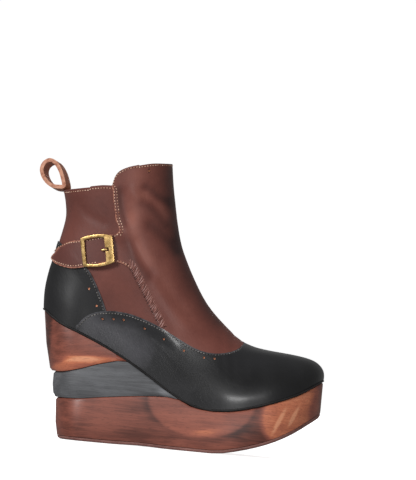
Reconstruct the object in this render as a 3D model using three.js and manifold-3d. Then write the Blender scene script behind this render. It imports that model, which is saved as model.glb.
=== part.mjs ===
// Right-foot wedge ankle boot, millimetres. The toe points along +X, the outer side faces -Y and
// the inner side with the zip faces +Y. The boot stands on its sole at z = 0.
import * as THREE from 'three';
import Module from 'manifold-3d';

const wasm = await Module();
wasm.setup();

// Driving dimensions
const LENGTH = 241;
const BALL_WIDTH = 80;
const HEEL_HEIGHT = 108.7;
const BALL_HEIGHT = 37;
const TOE_RISE = 32.5;
const TOE_SPRING = 38;
const SHAFT_HEIGHT = 131;
const ARCH_LIFT = 0.7;
const UPPER_WALL = 2;
const OVERLAY_THICKNESS = 1.1;
const STRAP_THICKNESS = 1.5;
const RAND_THICKNESS = 1.6;
const RAND_LIP = 0.8;
const INSOLE_THICKNESS = 3;
const OUTSOLE_THICKNESS = 2.6;
const LOOP_WIDTH = 14;
const LOOP_THICKNESS = 2.8;
const BUCKLE_WIDTH = 27;
const BUCKLE_HEIGHT = 24;
const BUCKLE_WIRE = 2.4;
const PLATE_WIDTH = 6;
const PRONG_WIDTH = 3;
const ZIP_TAPE_WIDTH = 9.4;
const ZIP_TAPE_THICKNESS = 0.8;
const ZIP_TEETH_WIDTH = 4.6;
const ZIP_TEETH_THICKNESS = 1.3;
const SLIDER_LENGTH = 12.5;
const SLIDER_WIDTH = 7.6;
const SLIDER_THICKNESS = 2.4;
const TAB_LENGTH = 26.5;
const TAB_WIDTH = 9;
const TAB_THICKNESS = 1.4;
const PIN_DIAMETER = 1.6;

// Clearance between pieces that touch, and the number of columns and rings in the upper's grid
const GAP = 0.3;
const COLUMNS = 52;
const RINGS = 14;
const SOLE_STATIONS = 36;
const WEDGE_STATIONS = 22;

// Top of the rand. x is a share of LENGTH, drop a share of the heel-to-ball fall, rise of TOE_RISE.
const FEATHER = [
  { x: 0, drop: 1, rise: 0 },
  { x: 0.06, drop: 0.862, rise: 0 },
  { x: 0.134, drop: 0.764, rise: 0 },
  { x: 0.207, drop: 0.662, rise: 0 },
  { x: 0.307, drop: 0.494, rise: 0 },
  { x: 0.393, drop: 0.322, rise: 0 },
  { x: 0.497, drop: 0.108, rise: 0 },
  { x: 0.56, drop: 0.022, rise: 0 },
  { x: 0.614, drop: 0, rise: 0 },
  { x: 0.68, drop: 0, rise: 0.03 },
  { x: 0.751, drop: 0, rise: 0.15 },
  { x: 0.854, drop: 0, rise: 0.405 },
  { x: 0.921, drop: 0, rise: 0.62 },
  { x: 1, drop: 0, rise: 1 },
];

// Plan outline. half and centre are shares of BALL_WIDTH.
const OUTLINE = [
  { x: 0, half: 0.345, centre: 0 },
  { x: 0.12, half: 0.365, centre: -0.006 },
  { x: 0.3, half: 0.35, centre: -0.03 },
  { x: 0.45, half: 0.385, centre: -0.035 },
  { x: 0.6, half: 0.472, centre: -0.018 },
  { x: 0.7, half: 0.5, centre: 0 },
  { x: 0.8, half: 0.487, centre: 0.026 },
  { x: 0.9, half: 0.44, centre: 0.058 },
  { x: 1, half: 0.4, centre: 0.085 },
];
const HEEL_END = 0.13;
const HEEL_ZONE = 0.29 * LENGTH;
const TOE_END = 0.17;

// Side view of the back seam and the collar: x of LENGTH, up of SHAFT_HEIGHT above the heel seat.
const BACK = [
  { x: 0, up: 0 },
  { x: -0.002, up: 0.11 },
  { x: 0.007, up: 0.245 },
  { x: 0.028, up: 0.4 },
  { x: 0.041, up: 0.51 },
  { x: 0.048, up: 0.6 },
  { x: 0.041, up: 0.7 },
  { x: 0.031, up: 0.766 },
];
const COLLAR = [
  { x: 0.031, up: 0.766 },
  { x: 0.122, up: 0.798 },
  { x: 0.19, up: 0.815 },
  { x: 0.203, up: 0.845 },
  { x: 0.211, up: 0.885 },
  { x: 0.225, up: 0.912 },
  { x: 0.256, up: 0.947 },
  { x: 0.297, up: 0.97 },
  { x: 0.344, up: 0.99 },
  { x: 0.402, up: 0.998 },
];

// Ridge of the vamp, over the rand, and front of the shaft, over the heel seat
const VAMP = [
  { x: 1, up: 0 },
  { x: 0.9985, up: 0.045 },
  { x: 0.984, up: 0.108 },
  { x: 0.957, up: 0.17 },
  { x: 0.91, up: 0.24 },
  { x: 0.838, up: 0.308 },
  { x: 0.768, up: 0.366 },
  { x: 0.706, up: 0.43 },
];
const SHAFT_FRONT = [
  { x: 0.657, up: -0.036 },
  { x: 0.593, up: 0.069 },
  { x: 0.548, up: 0.168 },
  { x: 0.509, up: 0.298 },
  { x: 0.474, up: 0.42 },
  { x: 0.45, up: 0.542 },
  { x: 0.434, up: 0.672 },
  { x: 0.419, up: 0.798 },
  { x: 0.407, up: 0.924 },
  { x: 0.402, up: 0.998 },
];

// Where each ring of the upper, from rand (0) to collar (1), meets the ridge line
const RIDGE_SHARE = [
  { at: 0, ridge: 0 },
  { at: 0.1, ridge: 0.045 },
  { at: 0.2, ridge: 0.11 },
  { at: 0.3, ridge: 0.19 },
  { at: 0.4, ridge: 0.29 },
  { at: 0.5, ridge: 0.41 },
  { at: 0.6, ridge: 0.53 },
  { at: 0.7, ridge: 0.65 },
  { at: 0.8, ridge: 0.77 },
  { at: 0.9, ridge: 0.88 },
  { at: 1, ridge: 1 },
];

// Half breadth of the shaft's oval, as a share of BALL_WIDTH, at heights above the heel seat
const OVAL = [
  { up: -0.4, half: 0.385 },
  { up: 0, half: 0.385 },
  { up: 0.25, half: 0.39 },
  { up: 0.5, half: 0.392 },
  { up: 0.65, half: 0.405 },
  { up: 0.8, half: 0.42 },
  { up: 1, half: 0.44 },
];
const OVAL_POWER = 2.15;
const FOOT_POWER = 2.1;
const BLEND_FROM = 0.08;
const BLEND_TO = 0.32;

// Undersides of the top wedge and the black middle layer, as shares of HEEL_HEIGHT
const WEDGE_BASE = [
  { x: 0, z: 0.523 },
  { x: 0.075, z: 0.521 },
  { x: 0.145, z: 0.556 },
  { x: 0.214, z: 0.609 },
  { x: 0.32, z: 0.67 },
];
const MIDDLE_BASE = [
  { x: 0, z: 0.317 },
  { x: 0.137, z: 0.325 },
  { x: 0.224, z: 0.351 },
  { x: 0.311, z: 0.377 },
  { x: 0.4, z: 0.397 },
  { x: 0.52, z: 0.41 },
];
const ROCKER = [
  { x: 0, z: 0 },
  { x: 0.64, z: 0 },
  { x: 0.697, z: 0.062 },
  { x: 0.763, z: 0.172 },
  { x: 0.834, z: 0.335 },
  { x: 0.9, z: 0.55 },
  { x: 0.967, z: 0.845 },
  { x: 1, z: 1 },
];
const WEDGE_FRONT = HEEL_ZONE / LENGTH;
const MIDDLE_FRONT = 0.475;

const mix = (a, b, t) => a + (b - a) * t;
const smooth = (t) => t * t * (3 - 2 * t);
const clamp = (v, low, high) => Math.min(high, Math.max(low, v));

// Value of a column at a place in a table, on a smooth curve that never overshoots its rows
function look(rows, key, at, by = 'x') {
  const last = rows.length - 1;
  const sign = rows[last][by] > rows[0][by] ? 1 : -1;
  if ((at - rows[0][by]) * sign <= 0) return rows[0][key];
  if ((at - rows[last][by]) * sign >= 0) return rows[last][key];
  let i = 0;
  while ((at - rows[i + 1][by]) * sign > 0) i += 1;
  const slope = (k) => (rows[k + 1][key] - rows[k][key]) / (rows[k + 1][by] - rows[k][by]);
  const tangent = (k) => {
    if (k === 0) return slope(0);
    if (k === last) return slope(last - 1);
    const before = slope(k - 1);
    const after = slope(k);
    return before * after <= 0 ? 0 : (2 * before * after) / (before + after);
  };
  const width = rows[i + 1][by] - rows[i][by];
  const t = (at - rows[i][by]) / width;
  const left = (1 + 2 * t) * (1 - t) * (1 - t) * rows[i][key];
  const right = t * t * (3 - 2 * t) * rows[i + 1][key];
  const bend = t * (1 - t) * ((1 - t) * tangent(i) - t * tangent(i + 1)) * width;
  return left + right + bend;
}

const featherZ = (x) => {
  const share = x / LENGTH;
  const drop = look(FEATHER, 'drop', share) * (HEEL_HEIGHT - BALL_HEIGHT);
  return BALL_HEIGHT + drop + look(FEATHER, 'rise', share) * TOE_RISE;
};
const overHeel = (row) => [row.x * LENGTH, HEEL_HEIGHT + row.up * SHAFT_HEIGHT];
const overFeather = (row) => [row.x * LENGTH, featherZ(row.x * LENGTH) + row.up * SHAFT_HEIGHT];

// A smooth plane curve through points, read by its share of the whole length
function line(points) {
  const flat = points.map(([x, z]) => new THREE.Vector3(x, z, 0));
  const curve = new THREE.CatmullRomCurve3(flat, false, 'centripetal');
  curve.arcLengthDivisions = 400;
  return (share) => {
    const p = curve.getPointAt(clamp(share, 0, 1));
    return [p.x, p.y];
  };
}

const backLine = line(BACK.map(overHeel));
const collarLine = line(COLLAR.map(overHeel));
const ridgeLine = line([...VAMP.map(overFeather), ...SHAFT_FRONT.map(overHeel)]);

const rounded = (share) => (share >= 1 ? 1 : Math.sqrt(Math.max(0, 1 - (1 - share) ** 2)));

// Side view of a point of the upper: s runs from the back seam to the ridge, u from rand to collar
function sidePoint(s, u) {
  const bottom = [s * LENGTH, featherZ(s * LENGTH)];
  const top = collarLine(s);
  const back = backLine(u);
  const ridge = ridgeLine(look(RIDGE_SHARE, 'ridge', u, 'at'));
  const corners = [[0, featherZ(0)], [LENGTH, featherZ(LENGTH)], collarLine(0), collarLine(1)];
  return [0, 1].map((k) => {
    const flat = (1 - u) * ((1 - s) * corners[0][k] + s * corners[1][k])
      + u * ((1 - s) * corners[2][k] + s * corners[3][k]);
    return (1 - u) * bottom[k] + u * top[k] + (1 - s) * back[k] + s * ridge[k] - flat;
  });
}

// Reads a side-view line the other way: one coordinate from the other
function crossing(along, from, to) {
  const steps = 600;
  const points = [];
  for (let i = 0; i <= steps; i += 1) points.push(along(i / steps));
  points.sort((a, b) => a[from] - b[from]);
  return (value) => {
    let low = 0;
    let high = steps;
    if (value <= points[low][from]) return points[low][to];
    if (value >= points[high][from]) return points[high][to];
    while (high - low > 1) {
      const half = (low + high) >> 1;
      if (points[half][from] > value) high = half;
      else low = half;
    }
    const span = points[high][from] - points[low][from];
    return mix(points[low][to], points[high][to], span ? (value - points[low][from]) / span : 0);
  };
}
const ridgeZ = crossing(ridgeLine, 0, 1);
const ridgeX = crossing(ridgeLine, 1, 0);
const backX = crossing(backLine, 1, 0);

const planHalf = (share) => look(OUTLINE, 'half', share)
  * rounded(share / HEEL_END) * rounded((1 - share) / TOE_END);
const roundOff = (share, power) => Math.max(0, 1 - Math.min(1, Math.abs(share)) ** power) ** (1 / power);

// Half breadth at a side-view point: the foot's arched section blends into the shaft's oval
function halfBreadth(x, z) {
  const back = backX(z);
  const share = clamp((x - back * Math.max(0, 1 - x / HEEL_ZONE)) / LENGTH, 0, 1);
  const low = featherZ(clamp(x, 0, LENGTH));
  const arched = roundOff((z - low) / Math.max(1, ridgeZ(x) - low), FOOT_POWER);
  const foot = planHalf(share) * arched;
  const front = ridgeX(z);
  const across = (2 * (x - back)) / (front - back) - 1;
  const up = (z - HEEL_HEIGHT) / SHAFT_HEIGHT;
  const oval = look(OVAL, 'half', up, 'up') * roundOff(across, OVAL_POWER);
  const from = low + BLEND_FROM * SHAFT_HEIGHT;
  const to = HEEL_HEIGHT + BLEND_TO * SHAFT_HEIGHT;
  return mix(foot, oval, smooth(clamp((z - from) / (to - from), 0, 1))) * BALL_WIDTH;
}

function upperPoint(s, u, side) {
  const [x, z] = sidePoint(s, u);
  const half = u === 0 ? planHalf(s) * BALL_WIDTH : halfBreadth(x, z);
  const swing = look(OUTLINE, 'centre', clamp(x / LENGTH, 0, 1)) * BALL_WIDTH;
  const margin = OVERLAY_THICKNESS + GAP;
  const inset = margin * Math.min(1, half / (4 * margin));
  return new THREE.Vector3(x, swing + side * (s === 0 || s === 1 ? 0 : half - inset), z);
}

// Column j of the closed ring: outer side first from the back seam to the ridge, then back
function ringPoint(column, u) {
  const turn = (2 * column) / COLUMNS;
  const side = turn <= 1 ? -1 : 1;
  const a = turn <= 1 ? turn : 2 - turn;
  const s = clamp((1 - Math.cos(Math.PI * a)) / 2, 0, 1);
  return upperPoint(s, u, side);
}

function upperGrid() {
  const grid = [];
  for (let r = 0; r <= RINGS; r += 1) {
    const row = [];
    for (let c = 0; c < COLUMNS; c += 1) row.push(ringPoint(c, r / RINGS));
    grid.push(row);
  }
  return grid;
}

const GRID = upperGrid();

// Outward normals of the grid; level at both rims so that the rims stay in their own planes
const NORMALS = GRID.map((row, r) => row.map((point, c) => {
  const before = row[(c + COLUMNS - 1) % COLUMNS];
  const after = row[(c + 1) % COLUMNS];
  const below = GRID[Math.max(0, r - 1)][c];
  const above = GRID[Math.min(RINGS, r + 1)][c];
  const along = new THREE.Vector3().subVectors(after, before);
  const up = new THREE.Vector3().subVectors(above, below);
  const normal = new THREE.Vector3().crossVectors(along, up).normalize();
  if (r === 0 || r === RINGS) normal.set(normal.x, normal.y, 0).normalize();
  return normal;
}));

const lifted = (r, c, lift) => {
  const point = GRID[r][c].clone().addScaledVector(NORMALS[r][c], lift);
  if (r === 0) point.z = featherZ(clamp(point.x, 0, LENGTH)) + GAP;
  return point;
};

function geometryOf(points, faces) {
  const geometry = new THREE.BufferGeometry();
  const flat = points.flatMap((p) => [p.x, p.y, p.z]);
  geometry.setAttribute('position', new THREE.Float32BufferAttribute(flat, 3));
  geometry.setIndex(faces.flat());
  return geometry;
}

// Wall between two offsets of the upper's outer face, open at the collar and underneath
function shell(inside, outside) {
  const points = [];
  const faces = [];
  [outside, inside].forEach((lift) => {
    for (let r = 0; r <= RINGS; r += 1) {
      for (let c = 0; c < COLUMNS; c += 1) points.push(lifted(r, c, lift));
    }
  });
  const inner = (RINGS + 1) * COLUMNS;
  const quad = (a, b, c, d) => faces.push([a, b, c], [a, c, d]);
  for (let c = 0; c < COLUMNS; c += 1) {
    const next = (c + 1) % COLUMNS;
    for (let r = 0; r < RINGS; r += 1) {
      const low = r * COLUMNS;
      const high = low + COLUMNS;
      quad(low + c, low + next, high + next, high + c);
      quad(inner + low + next, inner + low + c, inner + high + c, inner + high + next);
    }
    const rim = RINGS * COLUMNS;
    quad(c, inner + c, inner + next, next);
    quad(rim + c, rim + next, inner + rim + next, inner + rim + c);
  }
  return geometryOf(points, faces);
}

// Solids for joining and cutting
function solid(geometry) {
  const index = geometry.index ? Array.from(geometry.index.array) : null;
  const position = geometry.attributes.position;
  const seen = new Map();
  const vertices = [];
  const merged = [];
  for (let i = 0; i < position.count; i += 1) {
    const p = [position.getX(i), position.getY(i), position.getZ(i)];
    const key = p.map((v) => Math.round(v * 1e4)).join(',');
    if (!seen.has(key)) {
      seen.set(key, vertices.length / 3);
      vertices.push(...p);
    }
    merged.push(seen.get(key));
  }
  const corners = (index ?? merged.map((_, i) => i)).map((i) => merged[i]);
  const triangles = [];
  for (let i = 0; i < corners.length; i += 3) {
    const [a, b, c] = corners.slice(i, i + 3);
    if (a !== b && b !== c && c !== a) triangles.push(a, b, c);
  }
  const mesh = new wasm.Mesh({
    numProp: 3,
    vertProperties: new Float32Array(vertices),
    triVerts: new Uint32Array(triangles),
  });
  return new wasm.Manifold(mesh);
}

function geometryFrom(body) {
  const mesh = body.getMesh();
  const geometry = new THREE.BufferGeometry();
  geometry.setAttribute('position', new THREE.Float32BufferAttribute(mesh.vertProperties, 3));
  geometry.setIndex(Array.from(mesh.triVerts));
  return geometry;
}


// Side-view outline in x and z, extruded along Y from one place to another
function prism(outline, fromY, toY, hole = null) {
  const shape = new THREE.Shape(outline.map(([x, z]) => new THREE.Vector2(x, z)));
  if (hole) shape.holes.push(new THREE.Path(hole.map(([x, z]) => new THREE.Vector2(x, z))));
  const geometry = new THREE.ExtrudeGeometry(shape, { depth: toY - fromY, bevelEnabled: false });
  geometry.rotateX(Math.PI / 2);
  geometry.translate(0, toY, 0);
  return geometry;
}

const REACH = BALL_WIDTH;
const OVERLAP = 0.5;
const lateralPrism = (outline, shift = 0) => solid(prism(outline, -REACH, OVERLAP + shift));
const medialPrism = (outline, shift = 0) => solid(prism(outline, -OVERLAP - shift, REACH));

// Outlines of the overlays, in side view
const FOXING_LATERAL = [
  { x: 0.13, up: -0.1 },
  { x: 0.131, up: 0.044 },
  { x: 0.145, up: 0.09 },
  { x: 0.167, up: 0.13 },
  { x: 0.198, up: 0.185 },
  { x: 0.235, up: 0.232 },
  { x: 0.28, up: 0.27 },
  { x: 0.34, up: 0.31 },
  { x: 0.43, up: 0.342 },
  { x: 0.504, up: 0.358 },
  { x: 0.559, up: 0.356 },
  { x: 0.595, up: 0.355 },
  { x: 0.63, up: 0.36 },
  { x: 0.664, up: 0.375 },
  { x: 0.697, up: 0.395 },
  { x: 0.714, up: 0.435 },
  { x: 0.72, up: 0.6 },
];
const FOXING_MEDIAL = [
  { x: 0.161, up: -0.1 },
  { x: 0.162, up: 0.045 },
  { x: 0.19, up: 0.115 },
  { x: 0.22, up: 0.17 },
  { x: 0.257, up: 0.228 },
  { x: 0.328, up: 0.292 },
  { x: 0.382, up: 0.328 },
  { x: 0.454, up: 0.35 },
  { x: 0.527, up: 0.358 },
  { x: 0.6, up: 0.36 },
  { x: 0.66, up: 0.375 },
  { x: 0.697, up: 0.395 },
  { x: 0.714, up: 0.435 },
  { x: 0.72, up: 0.6 },
];
const foxingOutline = (rows) => [
  ...rows.map(overFeather),
  [LENGTH * 1.05, HEEL_HEIGHT + SHAFT_HEIGHT * 0.3],
  [LENGTH * 1.05, 0],
  [rows[0].x * LENGTH, 0],
];
const COUNTER_LATERAL = [
  { x: 0.22, up: 0.01 },
  { x: 0.197, up: 0.108 },
  { x: 0.172, up: 0.193 },
  { x: 0.144, up: 0.267 },
  { x: 0.113, up: 0.32 },
  { x: 0.075, up: 0.375 },
  { x: 0.045, up: 0.418 },
  { x: 0.02, up: 0.44 },
];
const COUNTER_MEDIAL = [
  { x: 0.235, up: 0.01 },
  { x: 0.199, up: 0.117 },
  { x: 0.171, up: 0.184 },
  { x: 0.14, up: 0.248 },
  { x: 0.109, up: 0.308 },
  { x: 0.079, up: 0.354 },
  { x: 0.053, up: 0.395 },
  { x: 0.02, up: 0.44 },
];
const counterOutline = (rows) => [
  ...rows.map(overHeel),
  [-LENGTH * 0.05, HEEL_HEIGHT + SHAFT_HEIGHT * 0.44],
  [-LENGTH * 0.05, HEEL_HEIGHT * 0.3],
  [rows[0].x * LENGTH, HEEL_HEIGHT * 0.3],
];
const PANEL_LATERAL = [
  { x: 0.207, up: 0.84 },
  { x: 0.21, up: 0.728 },
  { x: 0.218, up: 0.663 },
  { x: 0.226, up: 0.6 },
  { x: 0.2385, up: 0.545 },
  { x: 0.2315, up: 0.517 },
  { x: 0.225, up: 0.51 },
  { x: 0.233, up: 0.336 },
  { x: 0.258, up: 0.331 },
  { x: 0.277, up: 0.313 },
  { x: 0.293, up: 0.278 },
  { x: 0.329, up: 0.18 },
  { x: 0.37, up: 0.071 },
  { x: 0.41, up: -0.06 },
];
const panelOutline = (rows) => [
  ...rows.map(overHeel),
  [rows[rows.length - 1].x * LENGTH, BALL_HEIGHT],
  [LENGTH * 0.9, BALL_HEIGHT],
  [LENGTH * 0.9, HEEL_HEIGHT + SHAFT_HEIGHT * 1.1],
  [rows[0].x * LENGTH, HEEL_HEIGHT + SHAFT_HEIGHT * 1.1],
];
const STRAP = [
  { x: 0.242, up: 0.512 },
  { x: 0.2145, up: 0.508 },
  { x: 0.108, up: 0.453 },
  { x: 0.07, up: 0.439 },
  { x: 0.0365, up: 0.4 },
  { x: 0.021, up: 0.361 },
  { x: 0.006, up: 0.32 },
  { x: 0.032, up: 0.282 },
  { x: 0.071, up: 0.267 },
  { x: 0.124, up: 0.279 },
  { x: 0.18, up: 0.31 },
  { x: 0.242, up: 0.336 },
];

// Middle line of the zip on the inner side, from the collar down to its end stop
const ZIP_LINE = [
  { x: 0.1745, up: 0.8 },
  { x: 0.182, up: 0.728 },
  { x: 0.185, up: 0.6 },
  { x: 0.193, up: 0.504 },
  { x: 0.2075, up: 0.393 },
  { x: 0.225, up: 0.287 },
  { x: 0.246, up: 0.193 },
  { x: 0.2655, up: 0.101 },
  { x: 0.29, up: 0.01 },
  { x: 0.307, up: -0.052 },
  { x: 0.342, up: -0.155 },
];

const STRIP_STEPS = 11;

// Strip of a given width along a side-view line, between two shares of its length
function strip(rows, width, from, to, steps = STRIP_STEPS) {
  const middle = line(rows.map(overHeel));
  const sides = [[], []];
  for (let i = 0; i <= steps; i += 1) {
    const share = mix(from, to, i / steps);
    const [x, z] = middle(share);
    const [ax, az] = middle(Math.max(0, share - 0.01));
    const [bx, bz] = middle(Math.min(1, share + 0.01));
    const size = Math.hypot(bx - ax, bz - az);
    const across = [(bz - az) / size, -(bx - ax) / size];
    sides[0].push([x + (across[0] * width) / 2, z + (across[1] * width) / 2]);
    sides[1].unshift([x - (across[0] * width) / 2, z - (across[1] * width) / 2]);
  }
  return [...sides[0], ...sides[1]];
}

const UPPER_TOP = HEEL_HEIGHT + SHAFT_HEIGHT;
const coverInside = GAP;
const coverOutside = GAP + OVERLAY_THICKNESS;
const strapInside = coverOutside + GAP;
const strapOutside = strapInside + STRAP_THICKNESS;
const teethInside = 2 * GAP + ZIP_TAPE_THICKNESS;

// A layer over the upper, kept clear of what lies under it where the surface bends
function layer(inside, outside) {
  const under = inside - GAP;
  return solid(shell(inside, outside)).subtract(solid(shell(-UPPER_WALL, under)));
}
const cover = layer(coverInside, coverOutside);
const strapLayer = layer(strapInside, strapOutside);
const tapeLayer = layer(GAP, GAP + ZIP_TAPE_THICKNESS);
const teethLayer = layer(teethInside, teethInside + ZIP_TEETH_THICKNESS);

const foxingCut = (shift) => {
  const move = (outline) => outline.map(([x, z]) => [x - shift, z + shift]);
  return lateralPrism(move(foxingOutline(FOXING_LATERAL)), shift)
    .add(medialPrism(move(foxingOutline(FOXING_MEDIAL)), shift));
};
const counterCut = (shift) => {
  const move = (outline) => outline.map(([x, z]) => [x + shift, z + shift]);
  return lateralPrism(move(counterOutline(COUNTER_LATERAL)), shift)
    .add(medialPrism(move(counterOutline(COUNTER_MEDIAL)), shift));
};
const zipOutline = (width, from = 0, to = 1) => strip(ZIP_LINE, width, from, to);
const zipCut = (width) => medialPrism(zipOutline(width));

const MARK = { leather: [0.45, 0.27, 0.24], black: [0.17, 0.18, 0.19], wood: [0.5, 0.3, 0.21] };
const finish = (rgb, roughness, metalness = 0) => new THREE.MeshStandardMaterial({
  color: new THREE.Color(...rgb),
  roughness,
  metalness,
});
const LEATHER = finish(MARK.leather, 0.45);
const LEATHER_RAISED = finish([0.5, 0.31, 0.27], 0.42);
const BLACK_LEATHER = finish(MARK.black, 0.4);
const WOOD = finish(MARK.wood, 0.5);
const STAINED_WOOD = finish([0.28, 0.29, 0.31], 0.6);
const RUBBER = finish([0.4, 0.27, 0.24], 0.7);
const BOARD = finish([0.1, 0.1, 0.1], 0.6);
const LINING = finish([0.6, 0.45, 0.36], 0.7);
const BRASS = finish([0.8, 0.66, 0.34], 0.35, 1);
const OLD_BRASS = finish([0.5, 0.43, 0.3], 0.45, 1);
const TAPE = finish([0.13, 0.12, 0.12], 0.8);

const boot = new THREE.Group();
function add(name, geometry, material, parent = boot) {
  const mesh = new THREE.Mesh(geometry, material);
  mesh.name = name;
  parent.add(mesh);
  return mesh;
}

function makeUpper() {
  return shell(-UPPER_WALL, 0);
}

const makeFoxing = () => geometryFrom(cover.intersect(foxingCut(0)).subtract(
  zipCut(ZIP_TAPE_WIDTH + 2 * GAP),
));
const makeCounter = () => geometryFrom(cover.intersect(counterCut(0)).subtract(foxingCut(GAP)));

function makeFrontPanel() {
  const zipFront = zipOutline(ZIP_TAPE_WIDTH + 2 * GAP).slice(STRIP_STEPS + 1).reverse();
  const medial = [...zipFront, [LENGTH * 0.9, BALL_HEIGHT], [LENGTH * 0.9, UPPER_TOP * 1.1]];
  const top = [zipFront[0][0], UPPER_TOP * 1.1];
  const area = lateralPrism(panelOutline(PANEL_LATERAL)).add(medialPrism([...medial, top]));
  return geometryFrom(cover.intersect(area).subtract(foxingCut(GAP)));
}

// The strap stays this far on the buckle's side of the middle line
const STRAP_MARGIN = 10;
const makeStrap = () => geometryFrom(
  strapLayer.intersect(lateralPrism(STRAP.map(overHeel), -STRAP_MARGIN)),
);
const makeTape = () => geometryFrom(tapeLayer.intersect(zipCut(ZIP_TAPE_WIDTH)));

const TEETH_END = 0.94;
const makeTeeth = () => geometryFrom(
  teethLayer.intersect(medialPrism(zipOutline(ZIP_TEETH_WIDTH, 0.01, TEETH_END))),
);
function makeEndStop() {
  const stop = layer(teethInside, teethInside + ZIP_TEETH_THICKNESS * 1.4);
  const area = medialPrism(zipOutline(ZIP_TEETH_WIDTH * 1.2, TEETH_END + 0.004, TEETH_END + 0.03));
  return geometryFrom(stop.intersect(area));
}

// Place and direction on the outer face of the upper that a side-view point falls on
function pointOn(x, z, side) {
  let centre = [0.5, 0.5];
  let step = 0.5;
  for (let round = 0; round < 9; round += 1) {
    let best = null;
    for (let i = -8; i <= 8; i += 1) {
      for (let j = -8; j <= 8; j += 1) {
        const s = clamp(centre[0] + (i / 8) * step, 0, 1);
        const u = clamp(centre[1] + (j / 8) * step, 0, 1);
        const [px, pz] = sidePoint(s, u);
        const miss = (px - x) ** 2 + (pz - z) ** 2;
        if (!best || miss < best.miss) best = { s, u, miss };
      }
    }
    centre = [best.s, best.u];
    step /= 4;
  }
  const [s, u] = centre;
  const small = 0.02;
  const along = upperPoint(s + small, u, side).sub(upperPoint(s - small, u, side));
  const up = upperPoint(s, u + small, side).sub(upperPoint(s, u - small, side));
  const normal = new THREE.Vector3().crossVectors(along, up).normalize().multiplyScalar(-side);
  return { at: upperPoint(s, u, side), normal };
}

// Group whose x runs along the surface, y up it and z outwards, turned by an angle about z
function seat(x, z, side, turn = 0, level = false) {
  const { at, normal } = pointOn(x, z, side);
  if (level) normal.setZ(0).normalize();
  const up = new THREE.Vector3(0, 0, 1).addScaledVector(normal, -normal.z).normalize();
  const across = new THREE.Vector3().crossVectors(up, normal);
  const frame = new THREE.Matrix4().makeBasis(across, up, normal);
  frame.multiply(new THREE.Matrix4().makeRotationZ(turn));
  return frame.premultiply(new THREE.Matrix4().makeTranslation(at.x, at.y, at.z));
}

// The sole's plan outline at a share of the length, moved in by a margin
function planPoint(share, side, margin) {
  const raw = (s) => {
    const at = clamp(s, 0, 1);
    return [at * LENGTH, (look(OUTLINE, 'centre', at) + side * planHalf(at)) * BALL_WIDTH];
  };
  const point = raw(share);
  if (share === 0) return [margin, point[1]];
  if (share === 1) return [point[0] - margin, point[1]];
  const small = Math.min(0.002, share / 2, (1 - share) / 2);
  const [ax, ay] = raw(share - small);
  const [bx, by] = raw(share + small);
  const size = Math.hypot(bx - ax, by - ay);
  return [
    point[0] + (side * margin * (by - ay)) / size,
    point[1] - (side * margin * (bx - ax)) / size,
  ];
}

// A layer of the sole. levels give the height share, the back edge's x and the margin all round.
function soleLayer({ front = 1, top, bottom, levels, narrow = 0, steps = SOLE_STATIONS }) {
  const toPoint = front === 1;
  const stations = [];
  for (let i = 0; i <= steps; i += 1) {
    const t = i / steps;
    const share = toPoint ? (1 - Math.cos(Math.PI * t)) / 2 : 1 - Math.cos((Math.PI * t) / 2);
    stations.push(clamp(share, 0, 1) * front);
  }
  stations[steps] = front;
  const outer = stations.map((share) => ({ share, side: -1 }));
  const inner = stations.slice(1, toPoint ? -1 : undefined).reverse()
    .map((share) => ({ share, side: 1 }));
  const ring = [...outer, ...inner];
  const points = levels.flatMap(({ height, back, margin }) => ring.map(({ share, side }) => {
    const step = narrow * (1 - smooth(clamp(share * 2, 0, 1)));
    const [px, py] = planPoint(share, side, margin + step);
    const x = px + back * Math.max(0, 1 - px / HEEL_ZONE);
    return new THREE.Vector3(x, py, mix(bottom(x), top(x), height));
  }));
  const count = ring.length;
  const faces = [];
  for (let level = 0; level < levels.length - 1; level += 1) {
    for (let c = 0; c < count; c += 1) {
      const next = (c + 1) % count;
      const low = level * count;
      const high = low + count;
      faces.push([low + c, low + next, high + next], [low + c, high + next, high + c]);
    }
  }
  const lid = (level) => {
    const base = level * count;
    const far = (i) => base + ((count - i) % count);
    const lidFaces = [];
    for (let i = 0; i < steps; i += 1) {
      const corners = [base + i, base + i + 1, far(i + 1), far(i)];
      const [a, b, c, d] = corners;
      if (b !== c) lidFaces.push([a, b, c]);
      if (d !== a) lidFaces.push([a, c, d]);
    }
    return lidFaces;
  };
  faces.push(...lid(levels.length - 1));
  faces.push(...lid(0).map(([a, b, c]) => [a, c, b]));
  return geometryOf(points, faces);
}

const woodTop = (x) => featherZ(clamp(x, 0, LENGTH)) - RAND_THICKNESS - GAP;
const wedgeBase = (x) => look(WEDGE_BASE, 'z', x / LENGTH) * HEEL_HEIGHT;
const middleBase = (x) => look(MIDDLE_BASE, 'z', x / LENGTH) * HEEL_HEIGHT;
const arch = (x) => {
  const share = clamp((x / LENGTH - 0.27) / 0.22, 0, 1);
  return ARCH_LIFT * Math.sin(Math.PI * share) ** 2;
};
const groundZ = (x) => look(ROCKER, 'z', x / LENGTH) * TOE_SPRING + arch(x);
const WEDGE_BACK = LENGTH * 0.043;
const MIDDLE_BACK = LENGTH * 0.055;
const PLATFORM_BACK = LENGTH * 0.071;
const TREAD_BACK = LENGTH * 0.093;
const outsoleTop = (x) => {
  const slope = (groundZ(x + 1) - groundZ(x - 1)) / 2;
  return groundZ(x) + OUTSOLE_THICKNESS * Math.hypot(1, slope);
};

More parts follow.
